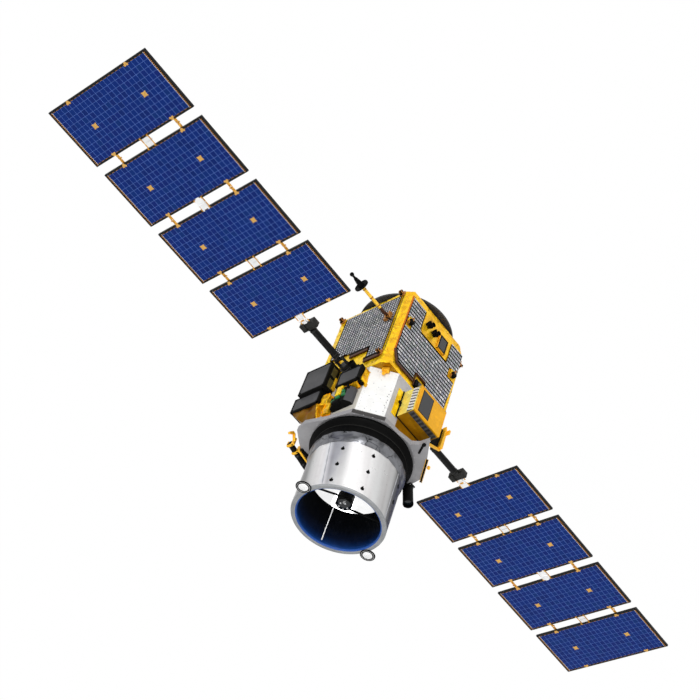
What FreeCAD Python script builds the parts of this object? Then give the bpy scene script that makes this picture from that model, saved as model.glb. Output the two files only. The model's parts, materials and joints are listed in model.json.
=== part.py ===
import FreeCAD, Part
import math
import os

os.makedirs("parts", exist_ok=True)
V = FreeCAD.Vector
X_AXIS = V(1, 0, 0)
Y_AXIS = V(0, 1, 0)
Z_AXIS = V(0, 0, 1)

# Driving sizes, mm. +Z runs from the launch ring to the telescope mouth, +Y to the left wing.
BUS_HALF = 545.0
BUS_REAR = 575.0
BUS_Z0 = 70.0
BUS_Z1 = 1400.0
BUS_CORNER_X = 60.0
BUS_CORNER_Y = 100.0
KEEL_CUT_Y = 95.0
KEEL_CUT_Z = 140.0
PAYLOAD_HALF = BUS_HALF - 5.0
PAYLOAD_CORNER = 240.0
PAYLOAD_Z1 = 2140.0
DECK_Z1 = 2200.0
RING_R = 597.0
RING_INNER_R = 395.0
RING_BOLT_R = 572.0
RING_BOLTS = 24
RING_HOLE_R = 4.5
TUBE_R = 535.0
BORE_R = TUBE_R - 70.0
TUBE_Z1 = 3240.0
BORE_Z0 = 2660.0
MIRROR_T = 40.0
HUB_R = 95.0
HUB_Z0 = 2870.0
HUB_Z1 = 3000.0
COLLAR_R = TUBE_R + 40.0
PLINTH_Z1 = 2255.0
COLLAR_Z1 = 2270.0
BAND_R = TUBE_R + 13.0
BAND_Z1 = 2450.0
SKIN = 12.0
FIRST_HALF = 545.0
PLAN = BUS_HALF / FIRST_HALF

# Wings
WING_Z = 1370.0
LEFT_X = 0.0
RIGHT_X = 190.0
PANEL_W = 1500.0
PANEL_L = 770.0
PANEL_T = 25.0
PANEL_GAP = 118.0
PANELS = 4
ROOT_Y = 770.0
BOOM_R = 42.0
BOOM_HINGE_W = 35.0
PANEL_HINGE_W = 22.0
STRAP_X = 450.0
STRAP_WIDE = 36.0
TAPE_WIDE = 100.0
BARREL_R = 9.0
HINGE_PIN_R = 4.0
ROOT_PIN_R = 8.0
SHAFT_R = 20.0
RUN = 0.05
HOUSING_Y1 = 660.0
BLOCK_Y1 = ROOT_Y + 620.0
BOOM_END_Y = BLOCK_Y1 + 46.0
PANEL_Y0 = BOOM_END_Y + PANEL_GAP / 2


def box(x0, x1, y0, y1, z0, z1):
    return Part.makeBox(x1 - x0, y1 - y0, z1 - z0, V(x0, y0, z0))


def prism(points, z0, z1):
    corners = [V(x, y, z0) for x, y in points]
    face = Part.Face(Part.makePolygon(corners + corners[:1]))
    return face.extrude(V(0, 0, z1 - z0))


def spread(points):
    """Outline points, with the first of each pair following the bus width."""
    return [(a * PLAN, b) for a, b in points]


def plate_x(points, x0, x1):
    corners = [V(x0, y, z) for y, z in points]
    face = Part.Face(Part.makePolygon(corners + corners[:1]))
    return face.extrude(V(x1 - x0, 0, 0))


def plate_y(points, y0, y1):
    corners = [V(x, y0, z) for x, z in points]
    face = Part.Face(Part.makePolygon(corners + corners[:1]))
    return face.extrude(V(0, y1 - y0, 0))


def turned(profile):
    corners = [V(r, 0, z) for r, z in profile]
    face = Part.Face(Part.makePolygon(corners + corners[:1]))
    return face.revolve(V(0, 0, 0), Z_AXIS, 360)


def rod(radius, start, end):
    axis = V(*end) - V(*start)
    return Part.makeCylinder(radius, axis.Length, V(*start), axis)


def octagon(half, corner):
    side = half - corner
    return [(half, -side), (half, side), (side, half), (-side, half),
            (-half, side), (-half, -side), (-side, -half), (side, -half)]


def save(name, solids):
    solids = solids if isinstance(solids, list) else [solids]
    shape = solids[0] if len(solids) == 1 else Part.makeCompound(solids)
    shape.exportStep("parts/" + name + ".step")


# ---- Bus
BUS_PLAN = [(BUS_HALF, -BUS_HALF), (BUS_HALF, BUS_HALF - BUS_CORNER_X), (BUS_HALF - BUS_CORNER_Y, BUS_HALF),
            (-BUS_REAR, BUS_HALF), (-BUS_REAR, BUS_CORNER_X - BUS_HALF), (BUS_CORNER_Y - BUS_REAR, -BUS_HALF)]
bus = prism(BUS_PLAN, BUS_Z0, BUS_Z1)
keel = [(-BUS_HALF, BUS_Z0), (-BUS_HALF + KEEL_CUT_Y, BUS_Z0), (-BUS_HALF, BUS_Z0 + KEEL_CUT_Z)]
bus = bus.cut(plate_x(keel, -BUS_REAR, BUS_HALF))
save("bus_body", bus)

ring = turned([(RING_INNER_R, BUS_Z0), (435, BUS_Z0), (RING_R, 32), (RING_R, 0),
               (RING_R - 50, 0), (RING_R - 50, 14), (RING_INNER_R, 52)])
for i in range(RING_BOLTS):
    turn = 2 * math.pi * i / RING_BOLTS
    foot = V(RING_BOLT_R * math.cos(turn), RING_BOLT_R * math.sin(turn), -1)
    ring = ring.cut(Part.makeCylinder(RING_HOLE_R, 60, foot))
save("launch_ring", ring)

# ---- Radiator panels: outlines as (y, z) on the X faces and (x, z) on the Y faces
FRONT_RADIATOR = [(475, 194), (228, 194), (228, 546), (-306, 548), (-306, 206), (-522, 206), (-522, 560),
                  (-378, 560), (-378, 728), (-505, 728), (-478, 1222), (-84, 1216), (-84, 1166), (100, 1166),
                  (100, 1283), (400, 1283), (475, 1150), (475, 704), (372, 704), (372, 542), (475, 542)]
REAR_RADIATOR = [(-430, 165), (520, 165), (520, 1300), (-430, 1300)]
LEFT_RADIATOR = [(-470, 135), (404, 160), (404, 1180), (160, 1180), (160, 968), (-470, 935)]
RIGHT_RADIATOR = [(-430, 260), (520, 260), (520, 1180), (-430, 1180)]
skins = [plate_x(spread(FRONT_RADIATOR), BUS_HALF, BUS_HALF + SKIN),
         plate_x(spread(REAR_RADIATOR), -BUS_REAR - SKIN, -BUS_REAR),
         plate_y(spread(LEFT_RADIATOR), BUS_HALF, BUS_HALF + SKIN),
         plate_y(spread(RIGHT_RADIATOR), -BUS_HALF - SKIN, -BUS_HALF)]
for name, skin in zip(("front", "rear", "left", "right"), skins):
    save(name + "_radiator", skin)

# ---- Payload section
section = prism(octagon(PAYLOAD_HALF, PAYLOAD_CORNER), BUS_Z1, PAYLOAD_Z1)
save("payload_section", section)
DECK = [(560, 290), (290, 560), (-60, 600), (-330, 660), (-470, 620), (-580, 450), (-640, 330),
        (-640, -300), (-400, -640), (140, -640), (415, -605), (590, -440), (840, -170), (700, -165),
        (615, -120), (575, 60)]
plinth = Part.makeCylinder(COLLAR_R, PLINTH_Z1 - DECK_Z1, V(0, 0, DECK_Z1))
save("payload_deck", prism(DECK, PAYLOAD_Z1, DECK_Z1).fuse(plinth))

# ---- Telescope
tube = Part.makeCylinder(TUBE_R, TUBE_Z1 - PLINTH_Z1, V(0, 0, PLINTH_Z1))
bore = Part.makeCylinder(BORE_R, TUBE_Z1 - BORE_Z0 + 1, V(0, 0, BORE_Z0))
save("telescope_tube", tube.cut(bore))
save("base_ring", turned([(TUBE_R, PLINTH_Z1), (COLLAR_R, PLINTH_Z1), (COLLAR_R, COLLAR_Z1),
                          (BAND_R, COLLAR_Z1), (BAND_R, BAND_Z1), (TUBE_R, BAND_Z1)]))
mirror_face_z = BORE_Z0 + MIRROR_T
dish_r = 2200.0
mirror = Part.makeCylinder(BORE_R, MIRROR_T, V(0, 0, BORE_Z0))
dish = Part.makeSphere(dish_r, V(0, 0, mirror_face_z - 30 + dish_r))
save("primary_mirror", mirror.cut(dish))
hub = Part.makeCylinder(HUB_R, HUB_Z1 - HUB_Z0, V(0, 0, HUB_Z0))
save("secondary_hub", hub)
STRUT_TURNS = [0.0, 120.0, 240.0]
STRUT_FOOT = (-70.0, 62.0, 2960.0)
STRUT_HEAD = (-445.0, -220.0, 3185.0)
STRUT_W = 10.0
STRUT_H = 24.0
inside = Part.makeCylinder(BORE_R, TUBE_Z1 - BORE_Z0, V(0, 0, BORE_Z0))
struts = []
for turn in STRUT_TURNS:
    across = V(STRUT_HEAD[1] - STRUT_FOOT[1], STRUT_FOOT[0] - STRUT_HEAD[0], 0).normalize() * STRUT_W
    low = V(*STRUT_FOOT) - across * 0.5
    high = V(*STRUT_HEAD) - across * 0.5
    up = V(0, 0, STRUT_H)
    bar = Part.Face(Part.makePolygon([low, high, high + up, low + up, low])).extrude(across)
    bar.rotate(V(0, 0, 0), Z_AXIS, turn)
    struts.append(bar.common(inside).cut(hub))
save("secondary_struts", struts)

TAG_R = 86.0
TAG_X = -27.0
TAG_Y = 567.0
TAG_T = 10.0
tags = [Part.makeCylinder(TAG_R, TAG_T, V(TAG_X, side * TAG_Y, TUBE_Z1)) for side in (1, -1)]
save("rim_tags", tags)

# ---- Side camera with its baffle
save("baffle_bracket", box(130, 260, -680, -600, DECK_Z1, DECK_Z1 + 14))
foot = (185, -640, DECK_Z1 + 14)
tip = (262, -652, 2500)
save("camera_baffle", rod(60, foot, tip).cut(rod(52, (250, -650, 2454), (264, -652.4, 2509)))
     .cut(box(0, 400, -800, -500, DECK_Z1 - 100, DECK_Z1 + 14)))

# ---- Imager box on the front wall of the payload section
save("imager_box", box(PAYLOAD_HALF, 810, -312, 150, 1573, 1982))
save("imager_window", box(810, 816, -76, 96, 1618, 1943))
save("imager_foot", box(PAYLOAD_HALF, PAYLOAD_HALF + 14, -290, 120, 1982, 2128))

# ---- Units on the left wall, boxes as (x0, x1, y0, y1, z0, z1)
WALL = PAYLOAD_HALF
LEFT_UNITS = [(-600, -205, BUS_HALF, WALL + 160, 1225, 1640), (-670, -255, WALL - 60, WALL + 120, 1642, 1865),
              (-25, 305, WALL, WALL + 120, 1490, 1735)]
save("electronics_boxes", [box(*unit).cut(section) for unit in LEFT_UNITS])
faceted = prism([(-60, WALL), (240, WALL), (240, WALL + 50), (185, WALL + 110), (30, WALL + 110),
                 (-60, WALL + 60)], 1790, 2030)
lens = rod(38, (150, WALL, 1440), (150, WALL + 110, 1440)).fuse(box(90, 210, WALL, WALL + 70, 1400, 1480))
save("faceted_unit", [faceted, lens])
FOIL_BLOCKS = [(-248, -130, WALL, WALL + 90, 1720, 1895), (-190, -64, WALL, WALL + 75, 1895, 2080),
               (-10, 290, WALL, WALL + 100, 1735, 1785), (305, 335, WALL - 20, WALL + 80, 1500, 1725)]
apron = [(WALL - 60, 1865), (WALL + 112, 1865), (WALL + 95, 1950), (WALL + 25, 2112), (WALL - 60, 2112)]
wedge = Part.Face(Part.makePolygon([V(-645, y, z) for y, z in apron + apron[:1]])).extrude(V(395, 0, 0))
corner = Part.Face(Part.makePolygon([V(x, WALL - 100, z) for x, z in [(-650, 1900), (-650, 2120), (-420, 2120),
                                                                      (-650, 1900)]])).extrude(V(0, 260, 0))
save("foil_blocks", [wedge.cut(corner).cut(section)] + [box(*block).cut(section) for block in FOIL_BLOCKS])

# ---- Sensors on the front face of the bus
save("star_trackers", [rod(42, (BUS_HALF, y, z), (BUS_HALF + 95, y, z)) for y, z in [(125, 360), (5, 390)]])
save("front_window", box(BUS_HALF, BUS_HALF + 18, -222, -106, 278, 482))
save("front_block", box(BUS_HALF, BUS_HALF + 40, -70, 70, 1272, 1370))

# ---- Antenna on the left face
ANT_X = 307.0
ANT_Z = 520.0
ANT_FOOT = BUS_HALF + SKIN
save("antenna_base", box(ANT_X - 40, ANT_X + 40, ANT_FOOT, ANT_FOOT + 30, ANT_Z - 60, ANT_Z + 60))
save("antenna_mast", rod(20, (ANT_X, ANT_FOOT + 30, ANT_Z), (ANT_X, 1075, ANT_Z)))
save("antenna_disc", rod(88, (ANT_X, 1075, ANT_Z), (ANT_X, 1087, ANT_Z)))
cone = Part.makeCone(40, 20, 120, V(ANT_X, 1087, ANT_Z), Y_AXIS)
save("antenna_tip", cone.fuse(rod(14, (ANT_X, 1200, ANT_Z), (ANT_X, 1250, ANT_Z)))
     .fuse(Part.makeSphere(26, V(ANT_X, 1268, ANT_Z))))

# ---- Hold-down brackets for the stowed wings: (face, x, z) on the Y faces, (y, z) on the front
HOLD_DOWNS = [(1, -540, 115), (1, 410, 120), (1, -330, 985), (1, 390, 1210),
              (-1, -410, 290), (-1, 500, 290), (-1, -330, 1215), (-1, 390, 1215)]
FRONT_HOLD_DOWNS = [(408, 585), (-460, 625)]
PAD_REACH = 62.0
pads = []
for face, along, z in HOLD_DOWNS:
    x = along * PLAN
    near, far = sorted([face * BUS_HALF, face * (BUS_HALF + PAD_REACH)])
    pads.append(box(x - 26, x + 26, near, far, z - 30, z + 30))
for y, z in spread(FRONT_HOLD_DOWNS):
    pads.append(box(BUS_HALF, BUS_HALF + 55, y - 24, y + 24, z - 45, z + 45))
for skin in skins:
    pads = [pad.cut(skin) for pad in pads]
save("hold_downs", pads)

# ---- Gold brackets round the deck, and the black bar on its rear left edge
side_bar = rod(34, (-722, 478, 2160), (-722, 40, 2262))
save("side_bar", side_bar)
save("deck_brackets", [box(-712, -640, 300, 345, 2110, 2290).cut(side_bar),
                       box(-712, -640, 60, 105, 2110, 2330).cut(side_bar),
                       box(600, 660, -430, -395, 2060, 2250).cut(prism(DECK, PAYLOAD_Z1, DECK_Z1)),
                       box(WALL - 50, WALL - 5, -600, -500, BUS_Z1, 1640).cut(section),
                       box(WALL - 140, WALL - 70, WALL - 140, WALL - 70, BUS_Z1, 1475).cut(section)])

# ---- Solar wings
DRIVES = [("left", 1, LEFT_X), ("right", -1, RIGHT_X)]


def placed(shape, side, x):
    """Shapes are drawn for the left wing about x = 0 and w = 0, then put on their side at wing height."""
    shape = shape.copy()
    if side < 0:
        shape = shape.mirror(V(0, 0, 0), Y_AXIS)
    shape.translate(V(x, 0, WING_Z))
    return shape


def pin_rod(radius, x0, x1, y, w):
    return Part.makeCylinder(radius, x1 - x0, V(x0, y, w), X_AXIS)


def leaf_pair(x, width, y, w, thick, reach, lift, out_reach=None):
    """A hinge on a line along X: the inboard leaf with its barrel and pin stubs, and the outboard leaf."""
    sign = 1 if w > 0 else -1
    half = width / 2
    mid = width / 4
    inner = pin_rod(BARREL_R, x - mid, x + mid, y, w)
    inner = inner.fuse(pin_rod(HINGE_PIN_R, x - half, x + half, y, w))
    near = sorted([sign * lift, sign * (lift + thick)])
    inner = inner.fuse(box(x - mid, x + mid, y - reach, y, near[0], near[1]))
    outer = []
    for x0, x1 in ((x - half, x - mid - 1), (x + mid + 1, x + half)):
        ear = pin_rod(BARREL_R, x0, x1, y, w)
        ear = ear.fuse(box(x0, x1, y, y + (out_reach or reach), near[0], near[1]))
        outer.append(ear.cut(pin_rod(HINGE_PIN_R + RUN, x0 - 1, x1 + 1, y, w)))
    return inner, outer


LEAF_T = 3.0
BLOCK_LONG = 120.0
LEAF_REACH = PANEL_GAP / 2 + 40
TAPE_REACH = PANEL_GAP / 2 + 14
# hinges across one gap: place on the gap, width, reach of each leaf
HINGE_LINE = [(-STRAP_X, STRAP_WIDE, LEAF_REACH), (STRAP_X, STRAP_WIDE, LEAF_REACH),
              (0, TAPE_WIDE, TAPE_REACH)]
for name, side, x in DRIVES:
    # drive housing on the bus with its shaft bore, and the turning fork
    housing = rod(70, (0, BUS_HALF, 0), (0, HOUSING_Y1, 0))
    housing = housing.cut(rod(SHAFT_R + RUN, (0, BUS_HALF + 40, 0), (0, HOUSING_Y1 + 1, 0)))
    save(name + "_drive_housing", placed(housing, side, x))
    fork = rod(SHAFT_R, (0, BUS_HALF + 45, 0), (0, HOUSING_Y1 + 6, 0))
    fork = fork.fuse(rod(62, (0, HOUSING_Y1 + 5, 0), (0, HOUSING_Y1 + 30, 0)))
    for ear in (-1, 1):
        lug = box(min(ear * 46, ear * 58), max(ear * 46, ear * 58), HOUSING_Y1 + 30, ROOT_Y, -22, 22)
        lug = lug.fuse(pin_rod(22, min(ear * 46, ear * 58), max(ear * 46, ear * 58), ROOT_Y, 0))
        fork = fork.fuse(lug)
    fork = fork.cut(pin_rod(ROOT_PIN_R + RUN, -60, 60, ROOT_Y, 0))
    save(name + "_drive_fork", placed(fork, side, x))

    # boom: barrel on the root pin, tube, end block and the inboard leaf of the first hinge
    boom = pin_rod(20, -45, 45, ROOT_Y, 0).fuse(pin_rod(ROOT_PIN_R, -58, 58, ROOT_Y, 0))
    boom = boom.fuse(rod(18, (0, ROOT_Y, 0), (0, ROOT_Y + 60, 0)))
    boom = boom.fuse(rod(BOOM_R, (0, ROOT_Y + 50, 0), (0, BLOCK_Y1 - BLOCK_LONG, 0)))
    save(name + "_boom", placed(boom, side, x))
    first_in, first_out = leaf_pair(0, TAPE_WIDE, BOOM_END_Y, BOOM_HINGE_W, LEAF_T,
                                    BOOM_END_Y - BLOCK_Y1 + 8, BOOM_HINGE_W - BARREL_R,
                                    PANEL_GAP / 2 + 20)
    block = box(-100, 100, BLOCK_Y1 - BLOCK_LONG, BLOCK_Y1, -45, 30).fuse(first_in)
    save(name + "_boom_head", placed(block, side, x))

    step = PANEL_L + PANEL_GAP
    for i in range(PANELS):
        y0 = PANEL_Y0 + i * step
        y1 = y0 + PANEL_L
        panel = box(-PANEL_W / 2, PANEL_W / 2, y0, y1, -PANEL_T / 2, PANEL_T / 2)
        save(f"{name}_panel_{i + 1}", placed(panel, side, x))
        above = 1 if i % 2 == 0 else -1
        fittings = []
        if i == 0:
            riser = box(-TAPE_WIDE / 2, TAPE_WIDE / 2, y0, y0 + 22, PANEL_T / 2,
                        BOOM_HINGE_W - BARREL_R + LEAF_T)
            fittings = [riser.fuse(first_out[0]).fuse(first_out[1])]
        else:
            for at, wide, reach in HINGE_LINE:
                fittings += leaf_pair(at, wide, y0 - PANEL_GAP / 2, above * PANEL_HINGE_W, LEAF_T, reach,
                                      PANEL_T / 2)[1]
        if i < PANELS - 1:
            for at, wide, reach in HINGE_LINE:
                fittings.append(leaf_pair(at, wide, y1 + PANEL_GAP / 2, -above * PANEL_HINGE_W, LEAF_T, reach,
                                          PANEL_T / 2)[0])
        save(f"{name}_hinges_{i + 1}", [placed(f, side, x) for f in fittings])
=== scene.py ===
"""Looks for an earth imaging satellite: foil blankets, tiled radiators, telescope, boxes and solar wings."""
import json
import math
import random

import bpy
from mathutils import Matrix, Vector

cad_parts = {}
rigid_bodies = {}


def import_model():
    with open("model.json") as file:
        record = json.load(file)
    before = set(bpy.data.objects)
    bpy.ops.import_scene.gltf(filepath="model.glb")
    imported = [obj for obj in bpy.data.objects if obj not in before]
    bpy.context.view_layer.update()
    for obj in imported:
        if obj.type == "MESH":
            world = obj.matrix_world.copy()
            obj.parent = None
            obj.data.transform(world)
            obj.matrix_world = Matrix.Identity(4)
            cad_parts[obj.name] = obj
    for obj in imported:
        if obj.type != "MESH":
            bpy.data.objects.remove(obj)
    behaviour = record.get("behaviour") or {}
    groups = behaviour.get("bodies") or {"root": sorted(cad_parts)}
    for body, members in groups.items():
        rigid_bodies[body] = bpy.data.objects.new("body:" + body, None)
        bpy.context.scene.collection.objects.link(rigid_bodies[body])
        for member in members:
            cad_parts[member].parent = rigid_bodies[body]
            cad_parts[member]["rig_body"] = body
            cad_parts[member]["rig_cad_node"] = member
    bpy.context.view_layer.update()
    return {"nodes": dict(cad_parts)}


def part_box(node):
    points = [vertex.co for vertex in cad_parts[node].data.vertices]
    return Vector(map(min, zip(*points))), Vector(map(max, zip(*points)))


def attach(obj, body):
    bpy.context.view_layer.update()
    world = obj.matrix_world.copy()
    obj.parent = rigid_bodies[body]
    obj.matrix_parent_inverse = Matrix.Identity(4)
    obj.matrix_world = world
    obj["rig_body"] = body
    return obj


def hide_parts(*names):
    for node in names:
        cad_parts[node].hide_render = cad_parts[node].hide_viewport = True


bl_info = {
    "name": "Earth Imaging Satellite Looks",
    "version": (1, 0, 0),
    "blender": (4, 5, 0),
    "location": "3D View > Sidebar > Satellite",
    "description": "Builds the blankets, tiles, trim and solar cells of an imaging satellite round its frame",
    "category": "Add Mesh",
}

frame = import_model()
SIDES = (("left", 1), ("right", -1))


def linear(code):
    """An sRGB hex colour as linear red, green and blue."""
    values = [int(code[i:i + 2], 16) / 255 for i in (1, 3, 5)]
    return tuple(v / 12.92 if v <= 0.04045 else ((v + 0.055) / 1.055) ** 2.4 for v in values)


def colour(label, code):
    """A colour that a user may change, from its sRGB hex code."""
    return bpy.props.FloatVectorProperty(name=label, description=label + ", as seen in plain light",
                                         default=linear(code), min=0, max=1, subtype="COLOR")


def length(label, metres):
    """A length in metres that a user may change."""
    return bpy.props.FloatProperty(name=label, description=label + " on the real satellite", default=metres,
                                   min=0.0001, max=3, unit="LENGTH", precision=4)


class SatelliteSizes(bpy.types.PropertyGroup):
    """Sizes of the dressing that a user may change."""
    front_tile_wide: length("Front tile pitch across", 0.034)
    front_tile_high: length("Front tile pitch upwards", 0.056)
    front_gap_wide: length("Front gap across", 0.005)
    front_gap_high: length("Front gap upwards", 0.021)
    side_tile: length("Side tile pitch", 0.042)
    side_gap: length("Side gap", 0.0125)
    crumple: length("Height of the blanket's crumples", 0.007)
    cell_wide: length("Solar cell width", 0.0618)
    cell_long: length("Solar cell length", 0.0735)
    cell_gap: length("Gap between solar cells", 0.0038)
    stud: length("Blanket stud radius", 0.006)


class SatelliteColours(bpy.types.PropertyGroup):
    """Colours of the finishes that a user may change."""
    # The lit, half-lit and in-shade film colours are one gold film, with painted light and painted shade by the way a
    # face looks.
    foil_lit: colour("Bright yellow film", "#FFD214")
    foil_half_lit: colour("Warm golden film", "#FFC41A")
    foil_orange: colour("Orange rolled edge", "#C8680E")
    foil_pale_lit: colour("Pale yellow film", "#F4E070")
    foil_face_half_lit: colour("Imager front film", "#E6A60A")
    foil_in_shade: colour("Deep amber film", "#A27406")
    foil_apron_in_shade: colour("Film in shade", "#7A5406")
    # Painted shade in the film's creases.
    foil_shade: colour("Film in its creases", "#7A3E02")
    foil_silver: colour("Silver film", "#77787C")
    cell: colour("Solar cell", "#08286F")
    cell_other: colour("Solar cell, violet batch", "#0D246B")
    cell_teal: colour("Solar cell, teal batch", "#082B6A")


def sizes():
    """The scene's sizes."""
    return bpy.context.scene.satellite_sizes


def colours():
    """The scene's colours."""
    return bpy.context.scene.satellite_colours


# ---- Finishes

def add(tree, kind, inputs=None, **settings):
    """Adds one shader node, with its settings, its input values and the links into it."""
    made = tree.nodes.new("ShaderNode" + kind)
    for key, value in settings.items():
        setattr(made, key, value)
    for key, value in (inputs or {}).items():
        if isinstance(value, bpy.types.NodeSocket):
            tree.links.new(value, made.inputs[key])
        else:
            made.inputs[key].default_value = value
    return made


def noise(tree, where, scale, detail=2.0, roughness=0.5):
    """A noise texture at a scale and with a detail."""
    return add(tree, "TexNoise", {"Vector": where, "Scale": scale, "Detail": detail, "Roughness": roughness})


def finish_start(name, roughness, metallic=0.0, **more):
    """A material with its shader, and the object's own coordinates."""
    made = bpy.data.materials.new(name)
    made.use_nodes = True
    tree = made.node_tree
    shader = tree.nodes["Principled BSDF"]
    shader.inputs["Roughness"].default_value = roughness
    shader.inputs["Metallic"].default_value = metallic
    for key, value in more.items():
        shader.inputs[key.replace("_", " ")].default_value = value
    return made, tree, shader, add(tree, "TexCoord").outputs["Object"]


def rgba(value):
    """A linear colour with full alpha."""
    return (value[0], value[1], value[2], 1.0)


def steps(tree, factor, *stops):
    """A colour ramp: stops are (position, linear colour)."""
    ramp = add(tree, "ValToRGB", {"Fac": factor})
    bar = ramp.color_ramp.elements
    bar[0].position, bar[0].color = stops[0][0], rgba(stops[0][1])
    bar[1].position, bar[1].color = stops[-1][0], rgba(stops[-1][1])
    for position, value in stops[1:-1]:
        bar.new(position).color = rgba(value)
    return ramp.outputs["Color"]


def level(tree, factor, *stops):
    """A ramp of plain numbers, for roughness, masks and heights."""
    return steps(tree, factor, *[(at, (v, v, v)) for at, v in stops])


def calc(tree, operation, a, b=0.0, c=0.0, clamp=False):
    """One math node."""
    return add(tree, "Math", {0: a, 1: b, 2: c}, operation=operation, use_clamp=clamp).outputs[0]


def blend(tree, factor, a, b, mode="MIX"):
    """Mixes two colours or sockets by a factor."""
    made = add(tree, "Mix", {0: factor}, data_type="RGBA", blend_type=mode)
    for socket, value in ((made.inputs[6], a), (made.inputs[7], b)):
        if isinstance(value, bpy.types.NodeSocket):
            tree.links.new(value, socket)
        else:
            socket.default_value = rgba(value)
    return made.outputs[2]


def raise_by(tree, shader, height, distance, strength=1.0, under=None):
    """Bump from a height of 0 to 1 that stands for a real distance in metres."""
    inputs = {"Height": height, "Distance": distance, "Strength": strength}
    if under:
        inputs["Normal"] = under
    out = add(tree, "Bump", inputs).outputs["Normal"]
    tree.links.new(out, shader.inputs["Normal"])
    return out


FINISHES = {}


def finish(key):
    """The material of that key, made when it is first asked for."""
    if key not in FINISHES:
        maker, *values = RECIPES[key]
        FINISHES[key] = maker(key, *values)
    return FINISHES[key]


def crinkled_film(name, main, facet_mm, metallic, crease=1.0):
    """Gold-coated polyimide film, hand folded over padding: soft facets toned lighter and darker as painted reflection,
    painted shade in the creases and in dull folds, and painted bright glints.
    """
    made, tree, shader, place = finish_start(name, 0.3, metallic, Specular_IOR_Level=0.2)
    warp = noise(tree, place, 1000 / (2.0 * facet_mm), 4.0)
    push = add(tree, "VectorMath", {0: warp.outputs["Color"], 1: (0.14, 0.14, 0.14)}, operation="MULTIPLY")
    bent = add(tree, "VectorMath", {0: place, 1: push.outputs[0]}, operation="ADD").outputs[0]
    line = add(tree, "TexVoronoi", {"Vector": bent, "Scale": 1000 / facet_mm, "Randomness": 1.0},
               feature="DISTANCE_TO_EDGE").outputs["Distance"]
    facet = add(tree, "TexVoronoi", {"Vector": bent, "Scale": 1600 / facet_mm, "Randomness": 1.0}, feature="SMOOTH_F1")
    drift = noise(tree, place, 5.0, 3.0, 0.6)
    folded = noise(tree, bent, 8.0, 2.0, 0.5)
    # Painted shade: dark lines in the creases, where the drift noise allows.
    deep = calc(tree, "MULTIPLY", level(tree, line, (0.0, 1.0), (0.045, 0.0)),
                level(tree, drift.outputs["Fac"], (0.46, 0.0), (0.6, crease)))
    # Painted shade and reflection: broad dull patches in the folds, darkened towards the crease colour.
    fold_shade = level(tree, folded.outputs["Fac"], (0.3, 0.6 * crease), (0.44, 0.0))
    shade = calc(tree, "MAXIMUM", deep, fold_shade)
    own = getattr(colours(), main)
    # Painted highlight and shade: lighter facets stand for glints, darker facets for facets turned from the light.
    lighter = tuple(min(1.0, v * 1.18 + 0.004) for v in own)
    darker = tuple(v * (1.0 - 0.45 * crease) for v in own)
    toned = steps(tree, facet.outputs["Color"], (0.15, darker), (0.45, own), (0.9, lighter))
    # The crease colour is painted shade: near black for silver film, foil_shade for gold.
    painted_crease_shade = linear("#1C1D1F") if main == "foil_silver" else colours().foil_shade
    tree.links.new(blend(tree, shade, toned, painted_crease_shade), shader.inputs["Base Color"])
    tree.links.new(level(tree, facet.outputs["Color"], (0.0, 0.24), (1.0, 0.42)), shader.inputs["Roughness"])
    fine = noise(tree, bent, 2500 / facet_mm, 3.0)
    low = raise_by(tree, shader, facet.outputs["Distance"], 0.008, 0.8 * crease)
    raise_by(tree, shader, fine.outputs["Fac"], 0.004, 0.35 * crease, low)
    return made


def silver_tile(name, wide, high, plane):
    """Second-surface silvered quartz tiles: near white, each one a slightly other tone."""
    made, tree, shader, place = finish_start(name, 0.28, 0.3)
    pitch = {"x": (1.0, wide, high), "y": (wide, 1.0, high)}[plane]
    index = add(tree, "VectorMath", {0: place, 1: pitch}, operation="DIVIDE").outputs[0]
    index = add(tree, "VectorMath", {0: index}, operation="FLOOR").outputs[0]
    tone = add(tree, "TexWhiteNoise", {"Vector": index}, noise_dimensions="3D")
    patch = noise(tree, place, 5.0, 3.0)
    base = steps(tree, tone.outputs["Value"], (0.0, linear("#9A9BA0")), (0.5, linear("#ACADB2")),
                 (0.85, linear("#BDBEC2")), (1.0, linear("#DCDCDE")))
    tint = blend(tree, 0.1, base, tone.outputs["Color"], "SOFT_LIGHT")
    worn = level(tree, patch.outputs["Fac"], (0.35, 0.82), (0.7, 1.0))
    tree.links.new(blend(tree, 1.0, tint, worn, "MULTIPLY"), shader.inputs["Base Color"])
    tree.links.new(level(tree, tone.outputs["Value"], (0.0, 0.36), (1.0, 0.2)), shader.inputs["Roughness"])
    ripple = noise(tree, place, 60.0, 1.0)
    mixed = calc(tree, "MULTIPLY_ADD", tone.outputs["Value"], 0.3, ripple.outputs["Fac"])
    raise_by(tree, shader, mixed, 0.002, 0.3)
    return made


def coated_metal(name, code, roughness, grain_mm, metallic=0.0, wear="#6C6A66", shine=0.5):
    """Anodised or painted alloy: fine even grain, soft cloudiness, edges and high spots rubbed lighter."""
    made, tree, shader, place = finish_start(name, roughness, metallic, Specular_IOR_Level=shine)
    cloud = noise(tree, place, 9.0, 6.0, 0.6)
    grain = noise(tree, place, 1000 / grain_mm, 2.0)
    own = linear(code)
    base = steps(tree, cloud.outputs["Fac"], (0.3, tuple(v * 0.82 for v in own)), (0.7, tuple(v * 1.12 for v in own)))
    edge = level(tree, add(tree, "NewGeometry").outputs["Pointiness"], (0.52, 0.0), (0.6, 0.5))
    tree.links.new(blend(tree, edge, base, linear(wear)), shader.inputs["Base Color"])
    tree.links.new(level(tree, cloud.outputs["Fac"], (0.25, roughness * 0.8), (0.75, min(1.0, roughness * 1.2))),
                   shader.inputs["Roughness"])
    raise_by(tree, shader, grain.outputs["Fac"], 0.0006, 0.35)
    return made


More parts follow.
